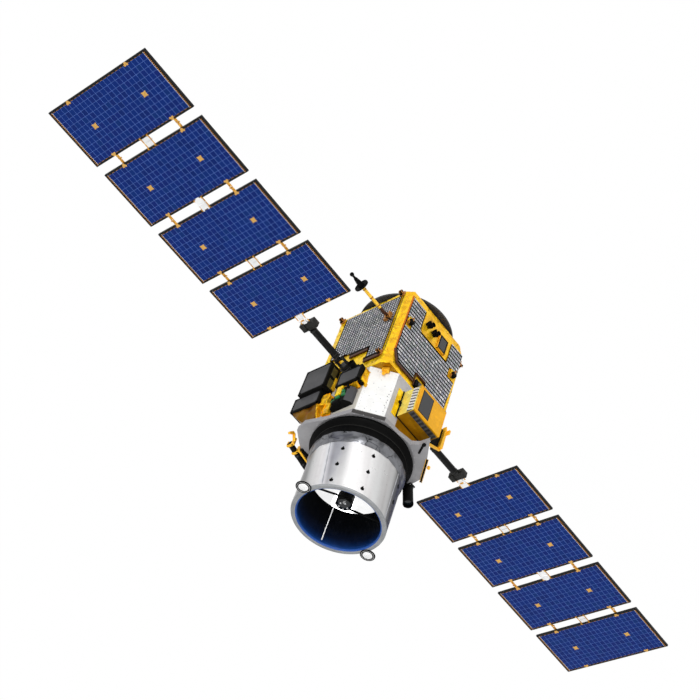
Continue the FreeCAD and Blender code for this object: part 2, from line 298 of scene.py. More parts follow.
def rolled_sheet(name):
    """Polished aluminium sheet wrapped round the barrel: broad upright bands and darker and brighter turns round the
    barrel as painted reflection and painted shade, faint rolling marks and prints.
    """
    made, tree, shader, place = finish_start(name, 0.34, 0.62)
    split = add(tree, "SeparateXYZ", {"Vector": place})
    turn = calc(tree, "ARCTAN2", split.outputs["Y"], split.outputs["X"])
    around = calc(tree, "MULTIPLY_ADD", calc(tree, "SUBTRACT", split.outputs["Z"], 2.87), 0.25, turn)
    along = add(tree, "CombineXYZ", {"X": calc(tree, "MULTIPLY", around, 2.2),
                                     "Y": calc(tree, "MULTIPLY", split.outputs["Z"], 0.25), "Z": 0.0}).outputs[0]
    # Painted reflection: broad upright bands of lighter and darker metal.
    bands = noise(tree, along, 1.4, 2.0, 0.5)
    marks = noise(tree, place, 14.0, 6.0, 0.7)
    base = steps(tree, bands.outputs["Fac"], (0.32, linear("#DDDBDB")), (0.45, linear("#F0EEEE")),
                 (0.56, linear("#FAFAFA")), (0.68, linear("#FFFFFF")))
    # Painted reflection and painted shade by the angle round the barrel: darker and brighter upright bands at set
    # turns.
    share = calc(tree, "MULTIPLY_ADD", around, 0.5 / math.pi, 0.5)
    wrap = level(tree, share, (0.0, 0.8), (0.14, 0.96), (0.2, 0.62), (0.3, 0.95), (0.37, 0.4), (0.406, 0.12),
                 (0.44, 0.14), (0.458, 0.42), (0.474, 0.52), (0.505, 0.56), (0.54, 0.7), (0.572, 0.92), (0.6, 1.0),
                 (0.632, 1.0),
                 (0.65, 0.68), (0.695, 0.6), (0.708, 0.98), (0.735, 0.9), (0.772, 0.55), (0.79, 0.25), (0.815, 0.2),
                 (0.85, 0.6),
                 (0.93, 0.95), (1.0, 0.8))
    toned = blend(tree, 1.0, base, wrap, "MULTIPLY")
    tree.links.new(blend(tree, level(tree, marks.outputs["Fac"], (0.52, 0.0), (0.8, 0.16)), toned, linear("#85868A")),
                   shader.inputs["Base Color"])
    tree.links.new(level(tree, marks.outputs["Fac"], (0.3, 0.26), (0.75, 0.44)), shader.inputs["Roughness"])
    dents = noise(tree, place, 4.5, 2.0)
    raise_by(tree, shader, dents.outputs["Fac"], 0.02, 0.3)
    return made


def bore_paint_and_depth_shade(name):
    """Dark blue paint inside the barrel, ramped from blue at the mouth to near black deeper in: the darkening with
    depth is painted shade.
    """
    made, tree, shader, place = finish_start(name, 0.4, 0.0, Specular_IOR_Level=0.08)
    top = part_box("telescope_tube")[1].z
    # Painted shade: the colour darkens with depth below the mouth.
    depth = calc(tree, "SUBTRACT", top, add(tree, "SeparateXYZ", {"Vector": place}).outputs["Z"])
    tone = steps(tree, calc(tree, "MULTIPLY", depth, 2.0), (0.0, linear("#1E509C")), (0.05, linear("#143E80")),
                 (0.12, linear("#0C2A5A")), (0.28, linear("#051430")), (0.55, linear("#020610")),
                 (1.0, linear("#010204")))
    cloud = noise(tree, place, 12.0, 4.0)
    worn = level(tree, cloud.outputs["Fac"], (0.3, 0.7), (0.7, 1.0))
    tree.links.new(blend(tree, 1.0, tone, worn, "MULTIPLY"), shader.inputs["Base Color"])
    tree.links.new(level(tree, cloud.outputs["Fac"], (0.3, 0.34), (0.7, 0.5)), shader.inputs["Roughness"])
    raise_by(tree, shader, cloud.outputs["Fac"], 0.001, 0.3)
    return made


def thermal_paint(name, code, roughness, dots_mm):
    """White or grey thermal paint on a honeycomb panel: orange-peel surface, faint stains, rows of tiny inserts."""
    made, tree, shader, place = finish_start(name, roughness)
    own = linear(code)
    stain = noise(tree, place, 5.0, 8.0, 0.7)
    speck = add(tree, "TexVoronoi", {"Vector": place, "Scale": 1000 / dots_mm, "Randomness": 1.0})
    base = steps(tree, stain.outputs["Fac"], (0.3, tuple(v * 0.86 for v in own)), (0.6, own))
    dot = level(tree, speck.outputs["Distance"], (0.035, 0.8), (0.06, 0.0))
    tree.links.new(blend(tree, dot, base, linear("#77757A")), shader.inputs["Base Color"])
    tree.links.new(level(tree, stain.outputs["Fac"], (0.3, roughness + 0.1), (0.7, roughness - 0.08)),
                   shader.inputs["Roughness"])
    peel = noise(tree, place, 350.0, 2.0)
    raise_by(tree, shader, peel.outputs["Fac"], 0.0008, 0.3)
    return made


def cover_glass(name):
    """Blue silicon cells under cover glass: each cell is another blue, with faint silver fingers."""
    made, tree, shader, place = finish_start(name, 0.3, 0.0, Specular_IOR_Level=0.08)
    tone = add(tree, "Attribute", attribute_name="cell_tone").outputs["Fac"]
    batch = noise(tree, place, 2.4, 2.0).outputs["Fac"]
    mixed = calc(tree, "MULTIPLY_ADD", tone, 0.7, calc(tree, "MULTIPLY", batch, 0.3))
    own = colours()
    blue = steps(tree, mixed, (0.1, tuple(v * 0.8 for v in own.cell)), (0.35, own.cell_other), (0.5, own.cell),
                 (0.68, own.cell), (0.85, own.cell_teal))
    fingers = add(tree, "TexWave", {"Vector": place, "Scale": 55.0, "Distortion": 0.0}, bands_direction="X")
    lit = level(tree, fingers.outputs["Fac"], (0.86, 0.0), (1.0, 0.1))
    tree.links.new(blend(tree, lit, blue, linear("#3A55A0")), shader.inputs["Base Color"])
    tree.links.new(level(tree, tone, (0.0, 0.22), (1.0, 0.4)), shader.inputs["Roughness"])
    raise_by(tree, shader, tone, 0.0015, 0.3)
    return made


def woven_fibre(name, code, weave_mm):
    """Carbon fibre laminate with a resin surface: a fine twill that shows only as a soft check."""
    made, tree, shader, place = finish_start(name, 0.42, 0.0, Specular_IOR_Level=0.15)
    weave = add(tree, "TexChecker", {"Vector": place, "Scale": 1000 / weave_mm})
    own = linear(code)
    cloud = noise(tree, place, 8.0, 5.0)
    base = blend(tree, weave.outputs["Fac"], tuple(v * 0.8 for v in own), tuple(v * 1.35 for v in own))
    tree.links.new(blend(tree, level(tree, cloud.outputs["Fac"], (0.45, 0.0), (0.8, 0.3)), base, linear("#161615")),
                   shader.inputs["Base Color"])
    tree.links.new(level(tree, cloud.outputs["Fac"], (0.3, 0.36), (0.7, 0.52)), shader.inputs["Roughness"])
    raise_by(tree, shader, weave.outputs["Fac"], 0.0005, 0.3)
    return made


def optic(name, code, metallic, roughness):
    """Polished glass or silvered mirror: clean, with only the faintest ripple."""
    made, tree, shader, place = finish_start(name, roughness, metallic)
    ripple = noise(tree, place, 6.0, 2.0)
    own = linear(code)
    tree.links.new(steps(tree, ripple.outputs["Fac"], (0.35, tuple(v * 0.88 for v in own)), (0.65, own)),
                   shader.inputs["Base Color"])
    tree.links.new(level(tree, ripple.outputs["Fac"], (0.3, roughness), (0.8, roughness + 0.06)),
                   shader.inputs["Roughness"])
    raise_by(tree, shader, ripple.outputs["Fac"], 0.0004, 0.2)
    return made


def strap_metal(name):
    """Gold-plated strips and clips: mottled at random from dark to bright gold, the brightest patches a painted
    highlight.
    """
    made, tree, shader, place = finish_start(name, 0.34, 0.4, Specular_IOR_Level=0.2)
    cloud = noise(tree, place, 60.0, 5.0).outputs["Fac"]
    # Painted highlight: the bright stop of the random mottling.
    gold = steps(tree, cloud, (0.3, linear("#7E4E0E")), (0.48, linear("#D0902A")), (0.7, linear("#F8C860")))
    tree.links.new(gold, shader.inputs["Base Color"])
    tree.links.new(level(tree, cloud, (0.3, 0.26), (0.7, 0.44)), shader.inputs["Roughness"])
    raise_by(tree, shader, cloud, 0.001, 0.4)
    return made


RECIPES = {
    # The lit, half-lit and in-shade films and panels are one gold film, with painted light and painted shade by face
    # direction.
    "film_lit": (crinkled_film, "foil_lit", 95, 0.5, 0.6),
    "film_half_lit": (crinkled_film, "foil_half_lit", 95, 0.5, 0.6),
    "film_orange": (crinkled_film, "foil_orange", 60, 0.4, 0.7),
    "film_in_shade": (crinkled_film, "foil_in_shade", 130, 0.5, 0.6),
    "film_apron_in_shade": (crinkled_film, "foil_apron_in_shade", 160, 0.6, 0.9),
    "film_bundle": (crinkled_film, "foil_half_lit", 110, 0.6, 0.8),
    "film_silver": (crinkled_film, "foil_silver", 130, 0.7, 1.0),
    "panel_lit": (crinkled_film, "foil_pale_lit", 90, 0.4, 0.3),
    "panel_half_lit": (crinkled_film, "foil_face_half_lit", 90, 0.4, 0.15),
    "panel_in_shade": (crinkled_film, "foil_in_shade", 90, 0.4, 0.35),
    "tiles_front": (silver_tile, 0.034, 0.056, "x"),
    "tiles_side": (silver_tile, 0.042, 0.042, "y"),
    "tile_adhesive": (coated_metal, "#26262A", 0.6, 2.0, 0.0, "#3A3A3C", 0.15),
    "bronze_doubler": (coated_metal, "#2E1204", 0.45, 2.0, 0.1, "#522C0E", 0.3),
    "black_anodised": (coated_metal, "#0C0C0B", 0.42, 1.2, 0.0, "#2E2E2C", 0.15),
    "black_paint": (coated_metal, "#040404", 0.6, 1.5, 0.0, "#141413", 0.05),
    "ring_black": (coated_metal, "#131210", 0.5, 2.0, 0.0, "#2E2B28", 0.4),
    "charcoal_lid": (coated_metal, "#3A3A3C", 0.55, 1.5, 0.0, "#505052", 0.2),
    "olive_inset": (coated_metal, "#3A3418", 0.5, 2.0, 0.0, "#5A5430", 0.2),
    "gold_anodised": (coated_metal, "#EFA414", 0.36, 1.5, 0.4, "#FFD040", 0.2),
    "mast_gold": (coated_metal, "#F2B614", 0.36, 8.0, 0.2, "#FFD450", 0.2),
    "amber_bracket": (coated_metal, "#6E3A0C", 0.42, 2.0, 0.3, "#C98A3A"),
    "green_connector": (coated_metal, "#0B5A2A", 0.45, 1.5, 0.0, "#2E8A50", 0.3),
    "machined_alloy": (coated_metal, "#A9ABAE", 0.35, 1.2, 0.5, "#D8D9DA"),
    "rim_alloy": (coated_metal, "#8C8E90", 0.4, 1.2, 0.1, "#B2B4B6", 0.3),
    "tab_silver": (coated_metal, "#CFCFCE", 0.35, 1.2, 0.1, "#E6E6E4", 0.3),
    # Dark grey: painted shade on the deck's +X +Y faces, and the backing of the imager's tabs.
    "deck_shade_and_tab_backing": (coated_metal, "#3C3A39", 0.5, 2.0, 0.0, "#565352", 0.2),
    "sheet_aluminium": (rolled_sheet,),
    "bore_black": (bore_paint_and_depth_shade,),
    # wall_ivory and wall_grey are the white paint with painted shade.
    "wall_white": (thermal_paint, "#ECECEA", 0.5, 60),
    "wall_ivory": (thermal_paint, "#C9C5BA", 0.5, 60),
    "wall_grey": (thermal_paint, "#B2B0B1", 0.55, 60),
    "deck_grey": (thermal_paint, "#979698", 0.5, 90),
    "strut_white": (thermal_paint, "#F6F6F6", 0.45, 200),
    "cell_glass": (cover_glass,),
    "cell_seam": (coated_metal, "#5E7EC4", 0.5, 2.0, 0.0, "#7C9AD8", 0.1),
    "cell_row": (coated_metal, "#5472B8", 0.5, 2.0, 0.0, "#6E8CCC", 0.1),
    "edge_brown": (coated_metal, "#140C06", 0.6, 2.0, 0.0, "#2A1A0C", 0.1),
    "edge_amber": (coated_metal, "#A86A28", 0.5, 2.0, 0.0, "#D09048", 0.1),
    "pad_gold": (coated_metal, "#BE8834", 0.45, 2.0, 0.1, "#E8BC6C", 0.2),
    "panel_laminate": (woven_fibre, "#050505", 6.0),
    "boom_laminate": (woven_fibre, "#020202", 8.0),
    "mirror_silver": (optic, "#FFFFFF", 1.0, 0.04),
    "smoked_glass": (optic, "#1B1C1E", 0.0, 0.3),
    "lens_glass": (optic, "#0A1216", 0.0, 0.08),
    "strap_gold": (strap_metal,),
    # Lighter blue on the barrel's inner lip: the lip's blue paint with a painted highlight.
    "blue_lip_and_highlight": (coated_metal, "#224B94", 0.4, 1.5, 0.0, "#5280C8", 0.2),
}


# ---- Shaping by hand

def clear():
    """Deselects everything."""
    bpy.ops.object.select_all(action="DESELECT")


def select(*pieces):
    """Makes one object the only selected and active one."""
    clear()
    for piece in pieces:
        piece.select_set(True)
    bpy.context.view_layer.objects.active = pieces[0]


def edit(kind="EDGE"):
    """Enters edit mode on an object."""
    bpy.ops.object.mode_set(mode="EDIT")
    bpy.ops.mesh.select_mode(type=kind)


def done():
    """Leaves edit mode."""
    bpy.ops.object.mode_set(mode="OBJECT")
    return bpy.context.object


def settle():
    """The new piece's place and turn go into its mesh."""
    bpy.ops.object.transform_apply(location=True, rotation=True, scale=True)
    return bpy.context.object


def block(low, high, edge=0.002, segments=1):
    """A cube at its size and place, with its edges bevelled."""
    clear()
    low, high = Vector(low), Vector(high)
    bpy.ops.mesh.primitive_cube_add(size=1, location=(low + high) / 2, scale=high - low)
    settle()
    edit()
    bpy.ops.mesh.select_all(action="SELECT")
    bpy.ops.mesh.bevel(offset=edge, segments=segments, affect="EDGES")
    return done()


def drum(start, end, radius, edge=0.002, sides=24, far_radius=None):
    """A round bar or cone from start to end, with its rims bevelled."""
    clear()
    start, end = Vector(start), Vector(end)
    turn = (end - start).to_track_quat("Z", "Y").to_euler()
    bpy.ops.mesh.primitive_cone_add(vertices=sides, radius1=radius, radius2=far_radius or radius,
                                    depth=(end - start).length, location=(start + end) / 2, rotation=turn)
    piece = settle()
    for face in piece.data.polygons:
        face.select = len(face.vertices) > 4
    edit("FACE")
    bpy.ops.mesh.select_all(action="DESELECT")
    done()
    for face in piece.data.polygons:
        face.select = len(face.vertices) > 4
    edit("FACE")
    bpy.ops.mesh.bevel(offset=edge, segments=1, affect="EDGES")
    return done()


def wire(points, closed=False):
    """A line of points drawn by extruding one vertex along, left open in edit mode."""
    clear()
    bpy.ops.mesh.primitive_plane_add(size=0.01, location=points[0])
    settle()
    edit("VERT")
    bpy.ops.mesh.select_all(action="SELECT")
    bpy.ops.mesh.merge(type="CENTER")
    for before, after in zip(points, points[1:]):
        bpy.ops.mesh.extrude_region_move(
            TRANSFORM_OT_translate={"value": Vector(after) - Vector(before)})
    bpy.ops.mesh.select_all(action="SELECT")
    if closed:
        bpy.ops.mesh.edge_face_add()


def slab(points, thick, edge=0.0):
    """A flat outline extruded by a vector, with its edges bevelled."""
    wire(points, closed=True)
    bpy.ops.mesh.extrude_region_move(TRANSFORM_OT_translate={"value": Vector(thick)})
    bpy.ops.mesh.select_all(action="SELECT")
    bpy.ops.mesh.normals_make_consistent(inside=False)
    if edge:
        bpy.ops.mesh.bevel(offset=edge, segments=1, affect="EDGES")
    return done()


def lathe(profile, centre, axis=(0, 0, 1), sides=48):
    """A profile of (radius, height) spun round an axis through centre. A closed one repeats its first point."""
    axis = Vector(axis).normalized()
    out = axis.orthogonal().normalized()
    centre = Vector(centre)
    points = [centre + out * r + axis * h for r, h in profile]
    wire(points)
    bpy.ops.mesh.spin(steps=sides, angle=math.tau, center=centre, axis=axis)
    bpy.ops.mesh.select_all(action="SELECT")
    bpy.ops.mesh.remove_doubles(threshold=0.00005)
    bpy.ops.mesh.normals_make_consistent(inside=False)
    return done()


def join(pieces):
    """Several shapes as one piece."""
    pieces = list(pieces)
    select(*pieces)
    if len(pieces) > 1:
        bpy.ops.object.join()
    return bpy.context.object


def moved_copy(piece, move):
    """A copy with its own mesh, moved and settled."""
    select(piece)
    bpy.ops.object.duplicate(linked=False)
    bpy.ops.transform.translate(value=move)
    return settle()


def from_node(node):
    """The node's own shape again as one clean mesh, free of the frame."""
    select(frame["nodes"][node])
    bpy.ops.object.duplicate(linked=False)
    piece = bpy.context.object
    piece.parent = None
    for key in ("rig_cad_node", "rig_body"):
        if key in piece:
            del piece[key]
    edit()
    bpy.ops.mesh.select_all(action="SELECT")
    bpy.ops.mesh.remove_doubles(threshold=0.0001)
    bpy.ops.mesh.dissolve_limited(angle_limit=0.02)
    return done()


def mirrored(piece, axis):
    """A copy on the other side of the row's X or Y plane."""
    select(piece)
    bpy.ops.object.duplicate(linked=False)
    copy = bpy.context.object
    copy.scale = (-1, 1, 1) if axis == "X" else (1, -1, 1)
    settle()
    edit()
    bpy.ops.mesh.select_all(action="SELECT")
    bpy.ops.mesh.normals_make_consistent(inside=False)
    return done()


def turned_round(piece, turns, axis=(0, 0, 1), centre=(0, 0, 0)):
    """The piece repeated round an axis, each copy with its own mesh, then all joined."""
    made = [piece]
    centre = Vector(centre)
    for turn in turns:
        select(piece)
        bpy.ops.object.duplicate(linked=False)
        copy = bpy.context.object
        spin = Matrix.Translation(centre) @ Matrix.Rotation(turn, 4, Vector(axis)) @ Matrix.Translation(-centre)
        copy.matrix_world = spin
        made.append(settle())
    return join(made)


def apply_modifier(piece, kind, **settings):
    """Adds a modifier and applies it."""
    select(piece)
    made = piece.modifiers.new(kind.title(), kind)
    for key, value in settings.items():
        setattr(made, key, value)
    bpy.ops.object.modifier_apply(modifier=made.name)
    return piece


def crumple(piece, grain, height, spread=5.0):
    """Remeshes a padded blanket and dents it with a fixed cell pattern, as hand-laid film lies."""
    apply_modifier(piece, "REMESH", mode="VOXEL", voxel_size=grain, use_smooth_shade=False)
    pattern = bpy.data.textures.new("crumple", "VORONOI")
    pattern.noise_scale = grain * spread
    pattern.distance_metric = "DISTANCE"
    apply_modifier(piece, "DISPLACE", texture=pattern, strength=height, mid_level=1.0, texture_coords="LOCAL")
    return piece


def dress(piece, name, body, slot, *keys, smooth=35):
    """Names a finished piece, gives it its finishes, and puts it on its body."""
    select(piece)
    piece.name = name
    piece.data.name = name
    piece.data.materials.clear()
    for key in keys:
        piece.data.materials.append(finish(key))
    if smooth:
        bpy.ops.object.shade_smooth_by_angle(angle=math.radians(smooth))
    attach(piece, body)
    return piece


def coat(node, *keys, chooser=None):
    """Gives a CAD node its finishes; chooser picks one for each face from its centre and normal."""
    mesh = frame["nodes"][node].data
    mesh.materials.clear()
    for key in keys:
        mesh.materials.append(finish(key))
    for face in mesh.polygons:
        face.material_index = chooser(face.center, face.normal) if chooser else 0


def coat_faces(piece, chooser):
    """Gives the faces of a piece their finishes."""
    for face in piece.data.polygons:
        face.material_index = chooser(face.center, face.normal)


def corners(low, high):
    """The corners of a box."""
    return [(low[0], low[1]), (high[0], low[1]), (high[0], high[1]), (low[0], high[1])]


def light_and_shade_of_film(centre, normal):
    """Lit film on the sides that face the wings, half-lit film on the front and rear, amber film in shade above and
    below: one gold film with painted light and painted shade by the way each face looks.
    """
    if abs(normal.z) > 0.7:
        return 2
    return 0 if abs(normal.y) > 0.8 else 1


def solids(node):
    """Lowest and highest corners of each separate solid of a node, by place."""
    home = {}

    def root(key):
        while home[key] != key:
            key = home[key]
        return key

    mesh = frame["nodes"][node].data
    keys = [tuple(round(value, 5) for value in point.co) for point in mesh.vertices]
    for key in keys:
        home.setdefault(key, key)
    for face in mesh.polygons:
        first, *others = (keys[i] for i in face.vertices)
        for other in others:
            home[root(other)] = root(first)
    groups = {}
    for key in home:
        groups.setdefault(root(key), []).append(key)
    return sorted((Vector(map(min, zip(*points))), Vector(map(max, zip(*points)))) for points in
                  (list(group) for group in groups.values()))


# ---- Pieces

class SATELLITE_OT_frame_finishes(bpy.types.Operator):
    """Gives every node of the frame its real finish"""
    bl_idname = "satellite.frame_finishes"
    bl_label = "Finish the frame"

    def execute(self, context):
        plain = {
            "launch_ring": "ring_black", "telescope_tube": "sheet_aluminium",
            "base_ring": "black_paint", "primary_mirror": "mirror_silver", "secondary_hub": "black_paint",
            "baffle_bracket": "black_paint", "camera_baffle": "black_paint",
            "imager_window": "smoked_glass", "imager_foot": "film_in_shade", "electronics_boxes": "black_paint",
            "front_window": "smoked_glass", "front_block": "black_paint", "antenna_base": "amber_bracket",
            "antenna_disc": "black_paint", "antenna_tip": "black_paint",
            "hold_downs": "amber_bracket", "deck_brackets": "gold_anodised", "side_bar": "black_paint",
            "rim_tags": "black_paint", "foil_blocks": "film_bundle",
        }
        for node, key in plain.items():
            coat(node, key)
        for node in ("front_radiator", "rear_radiator", "left_radiator", "right_radiator"):
            coat(node, "bronze_doubler")
        # Only the strut on the -X side is white; the others are black, painted shade that hides them in the dark bore.
        coat("secondary_struts", "strut_white", "black_paint",
             chooser=lambda centre, normal: 0 if centre.x < 0 else 1)
        deck_top = 2.2
        # The deck's faces turned towards +X and +Y get dark grey as painted shade.
        coat("payload_deck", "deck_grey", "black_paint", "deck_shade_and_tab_backing", chooser=lambda centre, normal:
             1 if centre.z > deck_top + 0.004 else (2 if min(normal.x, normal.y) > 0.5 else 0))
        coat("antenna_mast", "mast_gold")
        coat("payload_section", "wall_white", "wall_ivory", "wall_grey", chooser=wall_light_and_shade)
        coat("faceted_unit", "black_paint", "charcoal_lid",
             chooser=lambda centre, normal: 1 if normal.x > 0.6 else 0)
        # The imager's film is painted lit on its wing sides, half lit on its front and rear, and in shade above and
        # below.
        coat("imager_box", "panel_lit", "panel_half_lit", "panel_in_shade", chooser=light_and_shade_of_film)
        for side, _ in SIDES:
            for node, key in (("drive_housing", "black_anodised"), ("drive_fork", "black_anodised"),
                              ("boom", "boom_laminate"), ("boom_head", "black_anodised")):
                coat(f"{side}_{node}", key)
            for i in range(4):
                coat(f"{side}_panel_{i + 1}", "panel_laminate")
                low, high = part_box(f"{side}_panel_{i + 1}")
                mid = (low.x + high.x) / 2
                coat(f"{side}_hinges_{i + 1}", "strap_gold", "strut_white",
                     chooser=lambda centre, normal: int(abs(centre.x - mid) < 0.06))
        return {"FINISHED"}


def wall_light_and_shade(centre, normal):
    """White on the corner facets, half lit on the side walls and in shade on the front and rear: one white paint with
    painted light and painted shade by the wall's facing.
    """
    if abs(normal.x) > 0.3 and abs(normal.y) > 0.3:
        return 0
    return 1 if abs(normal.y) > 0.6 else 2


class SATELLITE_OT_bus_blanket(bpy.types.Operator):
    """Wraps the bus in padded gold film with studs along its edges and a rolled seam on its front corner"""
    bl_idname = "satellite.bus_blanket"
    bl_label = "Wrap the bus"

    def execute(self, context):
        low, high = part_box("bus_body")
        wrap = from_node("bus_body")
        crumple(wrap, 0.0125, sizes().crumple)
        # The bus film is painted lit on its wing sides, half lit on front and rear, and in shade above and below.
        dress(wrap, "bus_wrap", "core", "gold_foil", "film_lit", "film_half_lit", "film_in_shade", smooth=28)
        coat_faces(wrap, lambda centre, normal: 2 if abs(normal.z) > 0.7 else int(abs(centre.y) < high.y - 0.014))
        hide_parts("bus_body")

        rolls = []
        for sign in (1, -1):
            y = sign * (high.y - 0.06)
            if sign > 0:
                rolls.append(block((high.x - 0.012, y - 0.014, 0.16), (high.x + 0.012, y + 0.012, 1.2), 0.009, 3))
            else:
                rolls.append(block((low.x - 0.004, y - 0.012, 0.16), (low.x + 0.016, y + 0.014, 1.34), 0.007, 3))
        roll = join(rolls)
        crumple(roll, 0.006, 0.004)
        dress(roll, "corner_rolls", "core", "gold_foil", "film_orange", smooth=30)
        # Thin dark brown lines along the corner roll: painted shadow lines.
        line = [block((high.x - 0.004, high.y - 0.079, 0.2), (high.x + 0.008, high.y - 0.074, 1.165), 0.001),
                block((high.x - 0.111, high.y - 0.002, 0.16), (high.x - 0.107, high.y + 0.004, 1.19), 0.0008)]
        dress(join(line), "corner_roll_shadow_lines", "core", "bronze_bracket", "bronze_doubler")

        stud = sizes().stud
        seed = drum((0, 0, 0), (0.004, 0, 0), stud, 0.0015, 10)
        front = high.x + 0.001
        rows = [(y, 0.115) for y in (-0.4, -0.2, 0.0, 0.2, 0.4)] + [(y, 1.345) for y in (-0.5, -0.3, 0.3, 0.44)]
        rows += [(-0.53, z) for z in (0.34, 0.86, 1.05, 1.2)] + [(0.455, z) for z in (0.16, 0.62, 0.95)]
        dots = [moved_copy(seed, (front, y, z)) for y, z in rows]
        across = drum((0, 0, 0), (0, 0.004, 0), stud, 0.0015, 10)
        for sign in (1, -1):
            face = sign * (high.y + (0.001 if sign > 0 else 0.005))
            for x, z in [(-0.53, 0.3), (-0.53, 0.62), (-0.53, 0.9), (0.425, 0.34), (0.425, 0.6), (0.425, 0.84),
                         (0.425, 1.1), (-0.35, 0.1), (-0.1, 0.1), (0.15, 0.1), (0.3, 1.33), (-0.05, 1.1)]:
                dots.append(moved_copy(across, (x, face, z)))
        bpy.data.objects.remove(seed)
        bpy.data.objects.remove(across)
        dress(join(dots), "blanket_studs", "core", "bronze_bracket", "black_anodised")
        return {"FINISHED"}


RADIATORS = (("front", "x", 1), ("rear", "x", -1), ("left", "y", 1), ("right", "y", -1))


class SATELLITE_OT_radiator_tiles(bpy.types.Operator):
    """Lays the silvered tiles on the four radiator panels, each tile raised above the dark adhesive"""
    bl_idname = "satellite.radiator_tiles"
    bl_label = "Lay the radiator tiles"

    def execute(self, context):
        own = sizes()
        for side, plane, sign in RADIATORS:
            node = f"{side}_radiator"
            low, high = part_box(node)
            if plane == "x":
                grid = ((1, own.front_tile_wide, own.front_gap_wide), (2, own.front_tile_high, own.front_gap_high))
            else:
                grid = ((0, own.side_tile, own.side_gap), (2, own.side_tile, own.side_gap))
            normal = Vector((sign, 0, 0)) if plane == "x" else Vector((0, sign, 0))
            sheet = from_node(node)
            edit("FACE")
            bpy.ops.mesh.select_all(action="DESELECT")
            done()
            for face in sheet.data.polygons:
                face.select = face.normal.dot(normal) < 0.9
            edit("FACE")
            bpy.ops.mesh.delete(type="FACE")
            for axis, pitch, gap in grid:
                for k in range(math.ceil(low[axis] / pitch), math.ceil(high[axis] / pitch)):
                    for line in (k * pitch, k * pitch + gap):
                        point, cut = [0, 0, 0], [0, 0, 0]
                        point[axis], cut[axis] = line, 1
                        bpy.ops.mesh.select_all(action="SELECT")
                        bpy.ops.mesh.bisect(plane_co=point, plane_no=cut)
            bpy.ops.mesh.select_all(action="DESELECT")
            done()
            whole = math.prod(pitch - gap for axis, pitch, gap in grid)
            for face in sheet.data.polygons:
                inside = all(face.center[axis] % pitch > gap for axis, pitch, gap in grid)
                face.select = inside and face.area > 0.4 * whole
            edit("FACE")
            bpy.ops.mesh.extrude_faces_move(TRANSFORM_OT_shrink_fatten={"value": 0.002})
            tiles = done()
            tops = [face.select for face in tiles.data.polygons]
            key = "tiles_front" if plane == "x" else "tiles_side"
            dress(tiles, f"{side}_tiles", "core", "radiator_tiles", key, "tile_adhesive", smooth=0)
            for face, top in zip(tiles.data.polygons, tops):
                face.material_index = 0 if top else 1
        low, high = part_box("left_radiator")
        seam = block((-0.105, high.y, low.z + 0.01), (-0.098, high.y + 0.0028, high.z - 0.26), 0.0005)
        dress(join([seam, mirrored(seam, "Y")]), "side_tile_seams", "core", "bright_metal", "machined_alloy")
        return {"FINISHED"}


